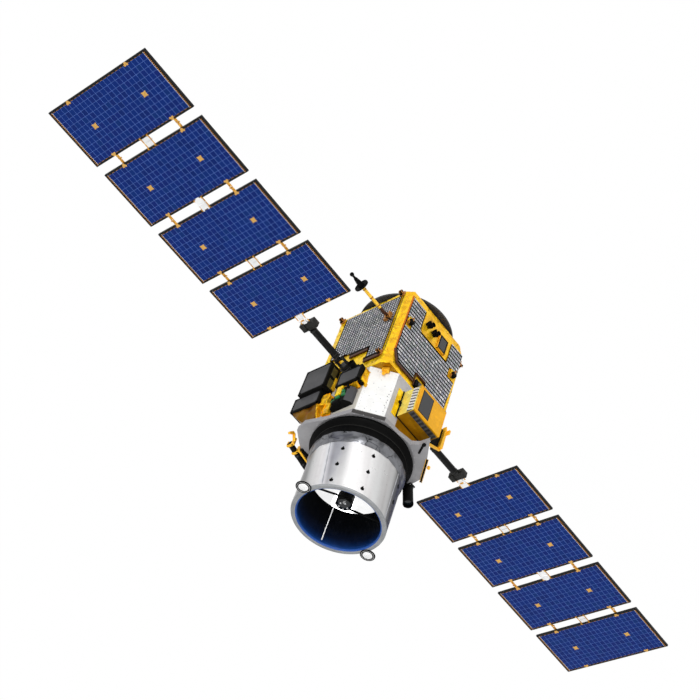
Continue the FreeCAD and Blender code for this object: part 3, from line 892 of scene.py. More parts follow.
class SATELLITE_OT_bus_fittings(bpy.types.Operator):
    """Adds the ledges with their painted shadow strips, sensors, the window's painted shadow border and gold lip,
    clamps and brackets of the bus
    """
    bl_idname = "satellite.bus_fittings"
    bl_label = "Fit out the bus"

    def execute(self, context):
        _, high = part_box("bus_body")
        face_x, face_y = high.x, high.y
        ledges, lips = [], []
        for sign in (1, -1):
            for x0, x1, z0, z1 in ((-0.13, 0.155, 0.985, 1.055), (0.15, 0.4, 1.197, 1.275)):
                near, far = sorted((sign * face_y, sign * (face_y + 0.022)))
                ledges.append(block((x0, near, z0 + 0.028), (x1, far, z1), 0.004))
                # Black strip along each ledge's lower edge: painted shadow.
                lips.append(block((x0 - 0.004, near, z0), (x1 + 0.004, far + (0.004 if sign > 0 else 0), z0 + 0.03), 0.003))
        ledges.append(block((face_x, 0.1, 1.298), (face_x + 0.02, 0.41, 1.335), 0.004))
        lips.append(block((face_x, 0.1, 1.276), (face_x + 0.022, 0.41, 1.3), 0.003))
        ledges.append(slab([(face_x, 0.4, 1.296), (face_x, 0.482, 1.155), (face_x, 0.502, 1.165), (face_x, 0.42, 1.33)],
                           (0.02, 0, 0), 0.002))
        lips.append(slab([(face_x, 0.388, 1.283), (face_x, 0.468, 1.146), (face_x, 0.482, 1.155), (face_x, 0.4, 1.296)],
                         (0.022, 0, 0), 0.002))
        # Thin black strip beside the corner roll: painted shadow line.
        lips.append(block((face_x, 0.474, 0.3), (face_x + 0.016, 0.481, 1.16), 0.002))
        dress(join(ledges), "bus_ledges", "core", "bronze_bracket", "bronze_doubler")
        dress(join(lips), "bus_ledge_shadow_strips", "core", "bronze_bracket", "black_paint")

        heads, cups = [], []
        for y, z in ((0.125, 0.36), (0.005, 0.39)):
            heads.append(lathe([(0.02, 0), (0.024, 0.012), (0.021, 0.03), (0.025, 0.05), (0.031, 0.092), (0.028, 0.092),
                                (0.022, 0.06), (0.012, 0.052), (0.0, 0.052)], (face_x, y, z), (1, 0, 0), 20))
            for i in range(6):
                turn = math.tau * i / 6 + 0.3
                petal = block((face_x + 0.028, -0.004, 0.02), (face_x + 0.055, 0.004, 0.036), 0.002)
                petal.matrix_world = Matrix.Translation((0, y, z)) @ Matrix.Rotation(turn, 4, "X")
                select(petal)
                heads.append(settle())
            cups.append(drum((face_x + 0.053, y, z), (face_x + 0.057, y, z), 0.02, 0.001, 16))
            heads.append(slab([(face_x, y - 0.012, z - 0.04), (face_x, y + 0.012, z - 0.04), (face_x, y + 0.036, z - 0.066),
                               (face_x, y + 0.022, z - 0.076)], (0.05, 0, 0), 0.003))
            heads.append(slab([(face_x, y + 0.03, z + 0.012), (face_x, y + 0.03, z - 0.012), (face_x, y + 0.052, z - 0.022),
                               (face_x, y + 0.052, z - 0.01)], (0.05, 0, 0), 0.003))
        eyes = join(heads)
        dress(eyes, "star_eyes", "core", "black_paint", "black_paint")
        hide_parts("star_trackers")
        dress(join(cups), "star_eye_lenses", "core", "dark_glass", "lens_glass")

        low_w, high_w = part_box("front_window")
        # The black border round the window is painted shadow of the window's recess; the gold lip is trim.
        for name, key, wide, inner, reach in (("front_window_shadow_border", "black_paint", 0.012, 0.004, 0.004),
                                              ("front_window_lip", "gold_anodised", 0.02, -0.012, 0.001)):
            rim = []
            for y0, y1, z0, z1 in ((low_w.y - wide, low_w.y + inner, low_w.z - wide, high_w.z + wide),
                                   (high_w.y - inner, high_w.y + wide, low_w.z - wide, high_w.z + wide),
                                   (low_w.y, high_w.y, low_w.z - wide, low_w.z + inner),
                                   (low_w.y, high_w.y, high_w.z - inner, high_w.z + wide)):
                rim.append(block((face_x, y0, z0), (high_w.x + reach, y1, z1), 0.002))
            dress(join(rim), name, "core", "gold_metal", key)

        low_b, high_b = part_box("front_block")
        bars = [block((face_x, low_b.y - 0.02, low_b.z - 0.105), (face_x + 0.03, high_b.y + 0.02, low_b.z - 0.085), 0.004),
                block((face_x, high_b.y + 0.004, low_b.z - 0.08), (face_x + 0.024, high_b.y + 0.016, high_b.z), 0.004),
                block((face_x, low_b.y - 0.02, low_b.z - 0.02), (face_x + 0.024, low_b.y - 0.006, high_b.z), 0.004)]
        dress(join(bars), "front_block_frame", "core", "bronze_bracket", "bronze_doubler")
        nut = lathe([(0.0, 0), (0.03, 0), (0.033, 0.004), (0.033, 0.012), (0.02, 0.016), (0.0, 0.016)],
                    (high_b.x, (low_b.y + high_b.y) / 2, (low_b.z + high_b.z) / 2), (1, 0, 0), 18)
        dress(nut, "front_block_cap", "core", "black_paint", "charcoal_lid")

        claws, dark, plates = [], [], []
        for low_p, high_p in solids("hold_downs"):
            mid = (low_p + high_p) / 2
            if low_p.x > face_x - 0.01:
                plates.append(block((face_x, mid.y - 0.045, low_p.z - 0.03), (face_x + 0.014, mid.y + 0.045, mid.z + 0.005),
                                    0.004))
                dark.append(block((face_x, low_p.y - 0.006, mid.z - 0.02), (face_x + 0.05, high_p.y + 0.006, high_p.z), 0.006,
                                  2))
                dark.append(drum((face_x + 0.036, low_p.y - 0.014, mid.z + 0.004),
                                 (face_x + 0.036, high_p.y + 0.014, mid.z + 0.004), 0.014, 0.002, 14))
                claws.append(block((face_x, mid.y - 0.008, low_p.z - 0.012), (face_x + 0.055, mid.y + 0.008, mid.z), 0.003))
                claws.append(block((face_x, high_p.y, mid.z - 0.02), (face_x + 0.03, high_p.y + 0.01, high_p.z + 0.016),
                                   0.003))
                continue
            face = 1 if mid.y > 0 else -1
            base = face * face_y
            tip = high_p.y if face > 0 else low_p.y
            claws.append(block(*span((low_p.x - 0.008, high_p.x + 0.008), (base, base + face * 0.014),
                                     (low_p.z - 0.008, high_p.z + 0.008)), 0.003))
            for dx in (-0.018, 0.018):
                claws.append(block(*span((mid.x + dx - 0.004, mid.x + dx + 0.004), (base, tip), (mid.z - 0.02, mid.z + 0.02)),
                                   0.002))
            dark.append(drum((mid.x - 0.03, tip - face * 0.014, mid.z), (mid.x + 0.03, tip - face * 0.014, mid.z), 0.011,
                             0.002, 12))
            dark.append(drum((mid.x, base + face * 0.012, mid.z - 0.01), (mid.x, tip - face * 0.006, mid.z - 0.01), 0.012,
                             0.002, 14, 0.017))
            dark.append(block(*span((mid.x - 0.028, mid.x + 0.004), (base, base + face * 0.032),
                                    (mid.z + 0.012, high_p.z + 0.004)), 0.003))
        clamps = join(claws)
        dress(clamps, "hold_down_claws", "core", "bronze_bracket", "amber_bracket")
        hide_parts("hold_downs")
        dress(join(dark), "hold_down_cups", "core", "black_paint", "black_paint")
        dress(join(plates), "hold_down_plates", "core", "gold_foil", "film_lit")
        return {"FINISHED"}


class SATELLITE_OT_launch_ring_bolts(bpy.types.Operator):
    """Adds the gusset blocks and plugs of the launch ring"""
    bl_idname = "satellite.launch_ring_bolts"
    bl_label = "Fit the launch ring"

    def execute(self, context):
        _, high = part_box("launch_ring")
        rim = high.x
        lip = lathe([(rim - 0.004, 0.020), (rim - 0.001, 0.021), (rim - 0.001, 0.024), (rim - 0.004, 0.026),
                     (rim - 0.004, 0.020)], (0, 0, 0), (0, 0, 1), 96)
        gussets = []
        seed = slab([(rim - 0.17, -0.006, 0.069), (rim - 0.03, -0.006, 0.034), (rim - 0.012, -0.006, 0.034),
                     (rim - 0.12, -0.006, 0.069)], (0, 0.012, 0), 0.001)
        gussets = turned_round(seed, [math.tau * (i + 0.5) / 24 for i in range(24)])
        dress(join([lip, gussets]), "launch_ring_gussets", "core", "black_metal", "black_anodised")
        plugs = []
        for angle in (0.5, 2.1, 3.7, 5.2):
            at = Vector((math.cos(angle), math.sin(angle), 0)) * (rim - 0.22)
            plugs.append(drum(at + Vector((0, 0, 0.026)), at + Vector((0, 0, 0.07)), 0.026, 0.003, 20))
        dress(join(plugs), "ring_connectors", "core", "gold_metal", "gold_anodised")
        return {"FINISHED"}


class SATELLITE_OT_payload_walls(bpy.types.Operator):
    """Skins the payload section with bordered panels and rows of small inserts"""
    bl_idname = "satellite.payload_walls"
    bl_label = "Skin the payload section"

    def execute(self, context):
        low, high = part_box("payload_section")
        half = high.x
        flat = 0.3
        plan = [(half, -flat), (half, flat), (flat, half), (-flat, half), (-half, flat), (-half, -flat), (-flat, -half),
                (flat, -half)]
        names = ["front", "front_left", "left", "rear_left", "rear", "rear_right", "right", "front_right"]
        inserts, marks = [], []
        for i, name in enumerate(names):
            a, b = Vector((*plan[i], 0)), Vector((*plan[(i + 1) % 8], 0))
            along = (b - a).normalized()
            out = Vector((along.y, -along.x, 0))
            a, b = a + along * 0.012, b - along * 0.012
            z0, z1 = low.z + 0.012, high.z - 0.012
            face = slab([a + Vector((0, 0, z0)), b + Vector((0, 0, z0)), b + Vector((0, 0, z1)), a + Vector((0, 0, z1))],
                        out * 0.004, 0.001)
            # One white paint: the side walls painted half lit and the front and rear painted in shade.
            key = "wall_white" if i % 2 else ("wall_ivory" if name in ("left", "right") else "wall_grey")
            dress(face, f"wall_{name}", "core", "white_panel", key)
            for share, count, size in ((0.05, 13, 0.005), (0.3, 4, 0.0075), (0.5, 6, 0.0065), (0.72, 4, 0.0075),
                                       (0.95, 13, 0.005)):
                for k in range(count):
                    at = a + (b - a) * share + Vector((0, 0, z0 + 0.04 + k * (z1 - z0 - 0.08) / (count - 1)))
                    inserts.append(drum(at + out * 0.003, at + out * 0.0055, size, 0.001, 8))
            if i % 2:
                for k in range(8):
                    at = a + along * (0.014 + 0.008 * (k % 3)) + Vector((0, 0, 1.72 + 0.047 * k + 0.012 * (k % 2)))
                    marks.append(drum(at + out * 0.003, at + out * 0.008, 0.005, 0.001, 8))
        dress(join(inserts), "wall_inserts", "core", "black_metal", "machined_alloy")
        dress(join(marks), "wall_studs", "core", "black_metal", "black_paint")
        return {"FINISHED"}


class SATELLITE_OT_deck_dressing(bpy.types.Operator):
    """Adds the sloped skirt, edge trim, bolts, gussets and clamps of the telescope deck"""
    bl_idname = "satellite.deck_dressing"
    bl_label = "Dress the telescope deck"

    def execute(self, context):
        deck_z = 2.2
        bolts = []
        for i in range(36):
            turn = math.tau * i / 36
            at = Vector((math.cos(turn), math.sin(turn), 0)) * 0.606
            bolts.append(drum(at + Vector((0, 0, deck_z - 0.002)), at + Vector((0, 0, deck_z + 0.004)), 0.006, 0.0015, 6))
        dress(join(bolts), "deck_bolts", "core", "black_metal", "machined_alloy")
        skirt = lathe([(0.572, 0.044), (0.598, 0.05), (0.603, 0.057), (0.598, 0.068), (0.575, 0.084), (0.556, 0.11),
                       (0.546, 0.114), (0.546, 0.066), (0.572, 0.044)], (0, 0, deck_z), (0, 0, 1), 96)
        dress(skirt, "deck_skirt", "core", "black_paint", "black_paint")
        low_r, high_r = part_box("base_ring")
        hoops = []
        for z in (low_r.z + 0.06, high_r.z - 0.012):
            hoops.append(lathe([(0.5455, -0.006), (0.5505, -0.005), (0.5505, 0.005), (0.5455, 0.006), (0.5455, -0.006)],
                               (0, 0, z), (0, 0, 1), 96))
        dress(join(hoops), "base_ring_hoops", "core", "black_paint", "black_anodised")

        gold = [slab([(-0.63, 0.391, 2.235), (-0.63, 0.183, 2.274), (-0.63, 0.183, 2.292), (-0.63, 0.391, 2.253)],
                     (0.02, 0, 0), 0.002),
                slab([(-0.64, 0.56, 2.09), (-0.64, 0.61, 2.15), (-0.64, 0.595, 2.17), (-0.64, 0.54, 2.12), (-0.64, 0.5, 2.2),
                      (-0.64, 0.485, 2.19), (-0.64, 0.52, 2.1)], (0.03, 0, 0), 0.003)]
        for y, z, turn in ((0.465, 2.165, 0.2), (0.36, 2.19, 0.2), (0.1, 2.25, 0.2)):
            gold.append(block((-0.759, y - 0.014, z - 0.038), (-0.74, y + 0.014, z + 0.036), 0.003))
            gold.append(block((-0.75, y - 0.016, z + 0.028), (-0.66, y + 0.016, z + 0.04), 0.003))
            gold.append(block((-0.69, y - 0.012, z - 0.06), (-0.64, y + 0.012, z + 0.04), 0.003))
        gold += [block((0.588, -0.5, 2.2), (0.616, -0.47, 2.24), 0.003),
                 slab([(0.545, -0.41, 1.87), (0.545, -0.6, 1.79), (0.545, -0.61, 1.81), (0.545, -0.41, 1.9)], (0.03, 0, 0),
                      0.003),
                 slab([(0.535, -0.555, 1.80), (0.535, -0.605, 1.80), (0.535, -0.6, 1.52), (0.535, -0.57, 1.45)], (0.07, 0, 0),
                      0.004),
                 block((0.575, -0.62, 1.5), (0.64, -0.595, 1.56), 0.004),
                 slab([(0.42, 0.47, 1.402), (0.5, 0.43, 1.402), (0.47, 0.38, 1.402), (0.40, 0.40, 1.402)],
                      (0.01, 0.014, 0.06), 0.003)]
        gold.append(drum((0.45, 0.43, 1.45), (0.45, 0.45, 1.51), 0.02, 0.003, 14))
        brackets = join(gold)
        dress(brackets, "deck_bracket_arms", "core", "gold_metal", "gold_anodised")
        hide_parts("deck_brackets")
        strap = Vector((-0.284, -0.254, 0)).normalized()
        side = Vector((-strap.y, strap.x, 0)) * 0.011
        start, end = Vector((0.655, -0.385, deck_z)), Vector((0.371, -0.639, deck_z))
        black = [slab([(-0.60, 0.374, deck_z), (-0.592, 0.216, deck_z), (-0.676, 0.133, deck_z), (-0.676, 0.36, deck_z)],
                      (0, 0, 0.03), 0.003),
                 slab([(-0.625, 0.48, 2.044), (-0.625, 0.362, 2.213), (-0.625, 0.335, 2.213), (-0.625, 0.45, 2.03)],
                      (0.03, 0, 0), 0.003),
                 slab([start - side, end - side, end + side, start + side], (0, 0, 0.016), 0.003),
                 slab([(0.552, -0.42, 1.86), (0.552, -0.555, 1.79), (0.552, -0.57, 1.5), (0.552, -0.54, 1.5)], (0.012, 0, 0),
                      0.002),
                 drum((0.775, -0.168, deck_z + 0.012), (0.629, -0.261, deck_z + 0.012), 0.013, 0.002, 12),
                 block((0.74, -0.2, deck_z), (0.78, -0.166, deck_z + 0.03), 0.004)]
        dress(join(black), "deck_gussets", "core", "black_paint", "black_paint")
        edges = [slab([start + side * f, end + side * f, end + side * g, start + side * g], (0, 0, 0.019), 0.001)
                 for f, g in ((-1.5, -1.05), (1.05, 1.5))]
        dress(join(edges), "deck_strap_edges", "core", "gold_metal", "gold_anodised")
        return {"FINISHED"}


class SATELLITE_OT_barrel_dressing(bpy.types.Operator):
    """Forms the barrel from rolled sheet, with its seam, vent holes and crinkled foil collar"""
    bl_idname = "satellite.barrel_dressing"
    bl_label = "Form the telescope barrel"

    def execute(self, context):
        low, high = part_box("telescope_tube")
        outer = high.x
        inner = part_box("primary_mirror")[1].x
        top = high.z
        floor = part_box("primary_mirror")[0].z - 0.11
        shell = lathe([(0.0, low.z), (outer, low.z), (outer, top - 0.014), (outer - 0.002, top - 0.008),
                       (outer - 0.006, top - 0.003),
                       (outer - 0.012, top), (inner + 0.018, top), (inner + 0.009, top - 0.004), (inner + 0.003, top - 0.011),
                       (inner, top - 0.018), (inner, floor), (0.0, floor)], (0, 0, 0), (0, 0, 1), 160)
        dress(shell, "barrel_shell", "core", "bright_metal", "sheet_aluminium", "rim_alloy", "bore_black", "blue_lip_and_highlight",
              smooth=50)
        # The inner lip gets the lighter blue as a painted highlight; the bore below it has painted shade by depth.
        for face in shell.data.polygons:
            reach = math.hypot(face.center.x, face.center.y)
            if reach < inner + 0.016 and face.center.z > floor + 0.01:
                face.material_index = 3 if face.center.z > top - 0.016 else 2
            elif reach < inner + 0.016 or face.center.z < low.z + 0.01:
                face.material_index = 2 if face.center.z > low.z + 0.01 else 0
            else:
                face.material_index = 1 if face.center.z > top - 0.012 else 0
        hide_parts("telescope_tube")

        vents = []
        columns = ((61.3, (2.683, 2.925, 3.165)), (24.2, (2.664, 2.909, 3.159)), (241.3, (2.683, 2.925, 3.165)),
                   (204.2, (2.664, 2.909, 3.159)), (151.0, (2.675, 2.915)), (331.0, (2.675, 2.915)), (24.2, (2.53,)))
        for turn_deg, heights in columns:
            turn = math.radians(turn_deg)
            out = Vector((math.cos(turn), math.sin(turn), 0))
            for z in heights:
                at = out * outer + Vector((0, 0, z))
                vents.append(lathe([(0.0, 0.001), (0.014, 0.001), (0.016, 0.004), (0.021, 0.004), (0.022, -0.002)], at, out,
                                   16))
                side = Vector((-out.y, out.x, 0))
                vents.append(slab([at + side * 0.01 + out * 0.0005, at - side * 0.01 + out * 0.0005,
                                   at - side * 0.006 + Vector((0, 0, -0.034)), at + side * 0.006 + Vector((0, 0, -0.034))],
                                  out * 0.004, 0.001))
        dress(join(vents), "barrel_vents", "core", "black_paint", "black_paint")

        seams = []
        rows = 14
        for start_deg, end_deg in ((81.5, 70.5), (261.5, 250.5), (-19.0, -21.0), (171.0, 169.0)):
            for k in range(rows):
                ends = []
                for step in (k, k + 1):
                    turn = math.radians(start_deg + (end_deg - start_deg) * step / rows)
                    out = Vector((math.cos(turn), math.sin(turn), 0))
                    side = Vector((-out.y, out.x, 0)) * (0.007 + 0.003 * math.sin(step * 2.1))
                    at = out * (outer - 0.001) + Vector((0, 0, 2.49 + (top - 0.016 - 2.49) * step / rows))
                    ends.append((at - side, at + side, out))
                seams.append(slab([ends[0][0], ends[0][1], ends[1][1], ends[1][0]], ends[0][2] * 0.003, 0.0005))
        dress(join(seams), "barrel_seams", "core", "bright_metal", "machined_alloy")

        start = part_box("base_ring")[1].z - 0.028
        ridge = [(outer + out, start + 0.0135 * k) for k,
                 out in enumerate((0.016, 0.019, 0.0185, 0.021, 0.0185, 0.0195, 0.015, 0.015,
                                                                            0.01, 0.008, 0.004, 0.0))]
        collar = lathe(ridge, (0, 0, 0), (0, 0, 1), 220)
        ripple = bpy.data.textures.new("collar_ripple", "CLOUDS")
        ripple.noise_scale = 0.09
        apply_modifier(collar, "DISPLACE", texture=ripple, strength=0.02, mid_level=0.45, texture_coords="LOCAL")
        dress(collar, "barrel_foil_collar", "core", "bright_metal", "film_silver", smooth=40)
        return {"FINISHED"}


class SATELLITE_OT_optics(bpy.types.Operator):
    """Forms the dished mirror, the secondary's cap and the sighting discs on the rim"""
    bl_idname = "satellite.optics"
    bl_label = "Fit the optics"

    def execute(self, context):
        low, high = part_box("primary_mirror")
        rim = high.x - 0.001
        base = low.z - 0.108
        bowl = [(0.0, base)] + [(rim * k / 14, base + (rim * k / 14) ** 2 / 1.6) for k in range(1, 15)]
        mirror = lathe(bowl + [(rim, base - 0.001), (0.0, base - 0.001)], (0, 0, 0), (0, 0, 1), 96)
        dress(mirror, "primary_dish", "core", "mirror_coat", "mirror_silver", smooth=40)
        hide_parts("primary_mirror")
        centre = lathe([(0.0, base), (0.07, base), (0.066, base + 0.05), (0.05, base + 0.09), (0.043, base + 0.09),
                        (0.043, base + 0.02), (0.0, base + 0.02)], (0, 0, 0), (0, 0, 1), 40)
        dress(centre, "mirror_trim", "core", "black_paint", "black_paint")
        _, high_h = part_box("secondary_hub")
        cap = lathe([(0.0, 0.03), (0.03, 0.027), (0.055, 0.018), (0.078, 0.004), (0.083, 0.0), (0.083, -0.004),
                     (0.0, -0.004)], (0, 0, high_h.z), (0, 0, 1), 40)
        dress(cap, "secondary_cap", "core", "black_paint", "lens_glass")
        knobs = []
        for turn in (0.4, 1.5, 2.7, 4.0, 5.2):
            at = Vector((math.cos(turn), math.sin(turn), 0)) * 0.05 + Vector((0, 0, high_h.z + 0.018))
            knobs.append(drum(at, at + Vector((0, 0, 0.012)), 0.012, 0.003, 12))
        dress(join(knobs), "secondary_knobs", "core", "white_paint", "machined_alloy")
        lips, faces = [], []
        for low_t, high_t in solids("rim_tags"):
            at = ((low_t.x + high_t.x) / 2, (low_t.y + high_t.y) / 2, high_t.z)
            faces.append(lathe([(0.0, 0.003), (0.052, 0.003), (0.0545, 0.0015), (0.055, -0.001), (0.0, -0.001)], at,
                               (0, 0, 1), 40))
            faces.append(lathe([(0.07, -0.001), (0.0705, 0.0015), (0.0725, 0.0015), (0.073, -0.001)], at, (0, 0, 1), 48))
            lips.append(lathe([(0.081, -0.002), (0.081, 0.002), (0.0855, 0.002), (0.0868, -0.001), (0.0868, -0.009),
                               (0.0855, -0.0095)], at, (0, 0, 1), 48))
        dress(join(faces), "rim_tag_faces", "core", "white_paint", "strut_white")
        dress(join(lips), "rim_tag_rings", "core", "black_paint", "black_paint")
        return {"FINISHED"}


class SATELLITE_OT_imager_dressing(bpy.types.Operator):
    """Adds the imager box's frame, silver tabs, trim line, wall flap and side clamps"""
    bl_idname = "satellite.imager_dressing"
    bl_label = "Dress the imager box"

    def execute(self, context):
        low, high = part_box("imager_box")
        win_low, win_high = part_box("imager_window")
        for name, key, wide, reach in (("imager_window_frame", "panel_half_lit", 0.03, 0.0),
                                       ("imager_window_seal", "black_paint", 0.008, 0.002)):
            bars = []
            for y0, y1, z0, z1 in ((win_low.y - wide, win_low.y, win_low.z - wide, win_high.z + wide),
                                   (win_high.y, win_high.y + wide, win_low.z - wide, win_high.z + wide),
                                   (win_low.y, win_high.y, win_low.z - wide, win_low.z),
                                   (win_low.y, win_high.y, win_high.z, win_high.z + wide)):
                bars.append(block((high.x - 0.002, y0, z0), (win_high.x - 0.002 + reach, y1, z1), 0.001))
            dress(join(bars), name, "core", "gold_foil", key)
        edge = []
        for y in (low.y, high.y):
            edge.append(block((high.x - 0.012, y - 0.004, low.z - 0.004), (high.x + 0.003, y + 0.004, high.z + 0.004), 0.002))
        for z in (low.z, high.z):
            edge.append(block((high.x - 0.012, low.y - 0.004, z - 0.004), (high.x + 0.003, high.y + 0.004, z + 0.004), 0.002))
        dress(join(edge), "imager_edge_tape", "core", "gold_foil", "panel_half_lit")
        tabs, flat_tabs, backs = [], [], []
        count = 8
        step = (high.z - low.z - 0.02) / count
        for sign, y in ((1, high.y), (-1, low.y)):
            near, far = sorted((y, y + sign * 0.003))
            backs.append(block((0.695, near, low.z + 0.01), (0.778, far, high.z - 0.01), 0.001))
            for i in range(count):
                z = low.z + 0.008 + i * step
                near, far = sorted((y + sign * 0.002, y + sign * 0.007))
                tabs.append(slab([(0.694, near, z), (0.779, near, z + 0.02), (0.779, near, z + 0.02 + step * 0.56),
                                  (0.694, near, z + step * 0.56)], (0, far - near, 0), 0.0005))
        step = (high.y - low.y - 0.02) / count
        for sign, z in ((1, high.z), (-1, low.z)):
            near, far = sorted((z, z + sign * 0.003))
            backs.append(block((0.712, low.y + 0.01, near), (0.784, high.y - 0.01, far), 0.001))
            for i in range(count):
                y = low.y + 0.014 + i * step
                near, far = sorted((z + sign * 0.002, z + sign * 0.006))
                flat_tabs.append(slab([(0.716, y, near), (0.78, y, near), (0.78, y + step * 0.55, near),
                                  (0.716, y + step * 0.55, near)], (0, 0, far - near), 0.0005))
        dress(join(backs), "imager_tab_backing", "core", "black_paint", "deck_shade_and_tab_backing")
        dress(join(tabs), "imager_tabs", "core", "bright_metal", "tab_silver")
        dress(join(flat_tabs), "imager_flat_tabs", "core", "bright_metal", "smoked_glass")
        flap = block((low.x + 0.001, high.y, low.z + 0.006), (low.x + 0.013, 0.24, high.z + 0.02), 0.003)
        crumple(flap, 0.006, 0.003)
        dress(flap, "imager_wall_flap", "core", "gold_foil", "film_lit", smooth=30)
        line_x = low.x + 0.001
        line = [block((line_x, high.y, low.z - 0.004), (line_x + 0.018, high.y + 0.016, high.z + 0.006), 0.003),
                block((line_x + 0.012, low.y, high.z), (line_x + 0.024, high.y + 0.016, high.z + 0.008), 0.002),
                block((line_x, low.y - 0.01, low.z), (line_x + 0.012, low.y, high.z + 0.006), 0.003),
                drum((line_x + 0.012, high.y + 0.004, 1.765), (line_x + 0.012, high.y + 0.038, 1.765), 0.022, 0.004, 20),
                block((line_x - 0.024, high.y, 1.795), (line_x + 0.03, high.y + 0.02, 1.815), 0.004),
                block((line_x - 0.03, high.y, 1.72), (line_x + 0.01, high.y + 0.016, 1.735), 0.004)]
        dress(join(line), "imager_trim_line", "core", "black_paint", "black_paint")
        return {"FINISHED"}


class SATELLITE_OT_wall_boxes(bpy.types.Operator):
    """Adds lids, rims, insets, film bundles, lens and connectors to the units on the left wall"""
    bl_idname = "satellite.wall_boxes"
    bl_label = "Fit the wall units"

    def execute(self, context):
        lids, insets, rims, plugs = [], [], [], []
        for low_u, high_u in solids("electronics_boxes"):
            x0, x1, y1, z0, z1 = low_u.x, high_u.x, high_u.y, low_u.z, high_u.z
            lids.append(block((x0 + 0.02, y1 - 0.002, z0 + 0.02), (x1 - 0.02, y1 + 0.003, z1 - 0.02), 0.002))
            for a, b in (((x0, z0), (x1, z0 + 0.018)), ((x0, z1 - 0.018), (x1, z1)), ((x0, z0), (x0 + 0.018, z1)),
                         ((x1 - 0.018, z0), (x1, z1))):
                rims.append(block((a[0] - 0.003, y1 - 0.03, a[1] - 0.003), (b[0] + 0.003, y1 + 0.006, b[1] + 0.003), 0.003))
            for cx, cz in ((x0 + 0.03, z0 + 0.03), (x1 - 0.03, z0 + 0.03), (x0 + 0.03, z1 - 0.03), (x1 - 0.03, z1 - 0.03)):
                rims.append(drum((cx, y1, cz), (cx, y1 + 0.008, cz), 0.006, 0.0015, 10))
            if x0 > -0.1:
                continue
            plugs.append(drum((x0 - 0.014, y1 - 0.06, z0 + 0.07), (x0 + 0.002, y1 - 0.06, z0 + 0.07), 0.018, 0.002, 16))
            plugs.append(block((x0 - 0.02, y1 - 0.1, z1 - 0.09), (x0 + 0.002, y1 - 0.03, z1 - 0.02), 0.006, 2))
            if high_u.z - low_u.z > 0.3:
                for za, zb in ((z0 + 0.045, z0 + 0.195), (z0 + 0.235, z1 - 0.03)):
                    insets.append(block((x1 - 0.001, y1 - 0.12, za), (x1 + 0.003, y1 - 0.045, zb), 0.002))
                    for a, b in ((za - 0.008, za), (zb, zb + 0.008)):
                        rims.append(block((x1 - 0.001, y1 - 0.128, a), (x1 + 0.006, y1 - 0.037, b), 0.002))
        dress(join(lids), "unit_lids", "core", "dark_panel", "charcoal_lid")
        dress(join(rims), "unit_rims", "core", "black_paint", "black_paint")
        dress(join(insets), "unit_insets", "core", "dark_panel", "olive_inset")

        bundle = from_node("foil_blocks")
        crumple(bundle, 0.01, 0.03, 13.0)
        dress(bundle, "film_bundles", "core", "gold_foil", "film_bundle", "film_apron_in_shade", smooth=22)
        # The bundle faces at the rear top get the darker film as painted shade.
        coat_faces(bundle, lambda centre, normal: 1 if centre.x < -0.28 and centre.z > 1.86 else 0)
        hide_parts("foil_blocks")
        tucks = [block((-0.2, 0.545, 1.2), (-0.1, 0.6, 1.25), 0.01, 2),
                 block((-0.34, 0.53, 2.075), (-0.1, 0.575, 2.135), 0.01, 2),
                 block((-0.2, 0.54, 1.42), (-0.16, 0.6, 1.62), 0.01, 2),
                 block((0.306, 0.5, 1.7), (0.34, 0.56, 1.76), 0.01, 2)]
        tuck = join(tucks)
        crumple(tuck, 0.007, 0.012)
        dress(tuck, "film_tucks", "core", "gold_foil", "film_bundle", smooth=22)

        gold = block((0.035, 0.58, 1.775), (0.125, 0.678, 1.925), 0.012, 2)
        crumple(gold, 0.006, 0.004)
        dress(gold, "faceted_gold_block", "core", "gold_foil", "film_lit", smooth=25)
        for low, high in (((0.13, 0.62, 1.86), (0.165, 0.676, 1.9)), ((0.135, 0.62, 1.915), (0.185, 0.672, 1.955)),
                          ((0.05, 0.62, 1.935), (0.11, 0.672, 1.97)), ((-0.05, 0.57, 1.915), (-0.01, 0.63, 1.955)),
                          ((0.0, 0.6, 1.955), (0.035, 0.655, 1.99))):
            plugs.append(block(low, high, 0.006, 2))
        dress(join(plugs), "faceted_connectors", "core", "black_paint", "green_connector")
        dark = [block((-0.075, 0.56, 1.86), (-0.04, 0.62, 1.92), 0.008, 2),
                block((0.015, 0.6, 1.985), (0.12, 0.664, 2.04), 0.008, 2),
                block((0.0, 0.6, 1.76), (0.03, 0.655, 1.86), 0.006, 2),
                block((0.17, 0.62, 1.79), (0.2, 0.665, 1.84), 0.005, 2)]
        dress(join(dark), "faceted_clamps", "core", "black_paint", "black_paint")
        hood = [lathe([(0.03, 0.0), (0.038, 0.002), (0.041, 0.04), (0.045, 0.075), (0.041, 0.075), (0.034, 0.04),
                       (0.0, 0.036)], (0.15, 0.64, 1.44), (0, 1, 0), 24),
                block((0.085, 0.58, 1.395), (0.215, 0.612, 1.485), 0.006),
                block((0.175, 0.6, 1.41), (0.205, 0.64, 1.47), 0.004)]
        dress(join(hood), "wall_camera_hood", "core", "black_paint", "black_paint")
        glass = lathe([(0.0, 0.012), (0.014, 0.01), (0.026, 0.004), (0.032, 0.0), (0.0, 0.0)], (0.15, 0.676, 1.44),
                      (0, 1, 0), 24)
        dress(glass, "wall_camera_lens", "core", "dark_glass", "lens_glass")
        return {"FINISHED"}


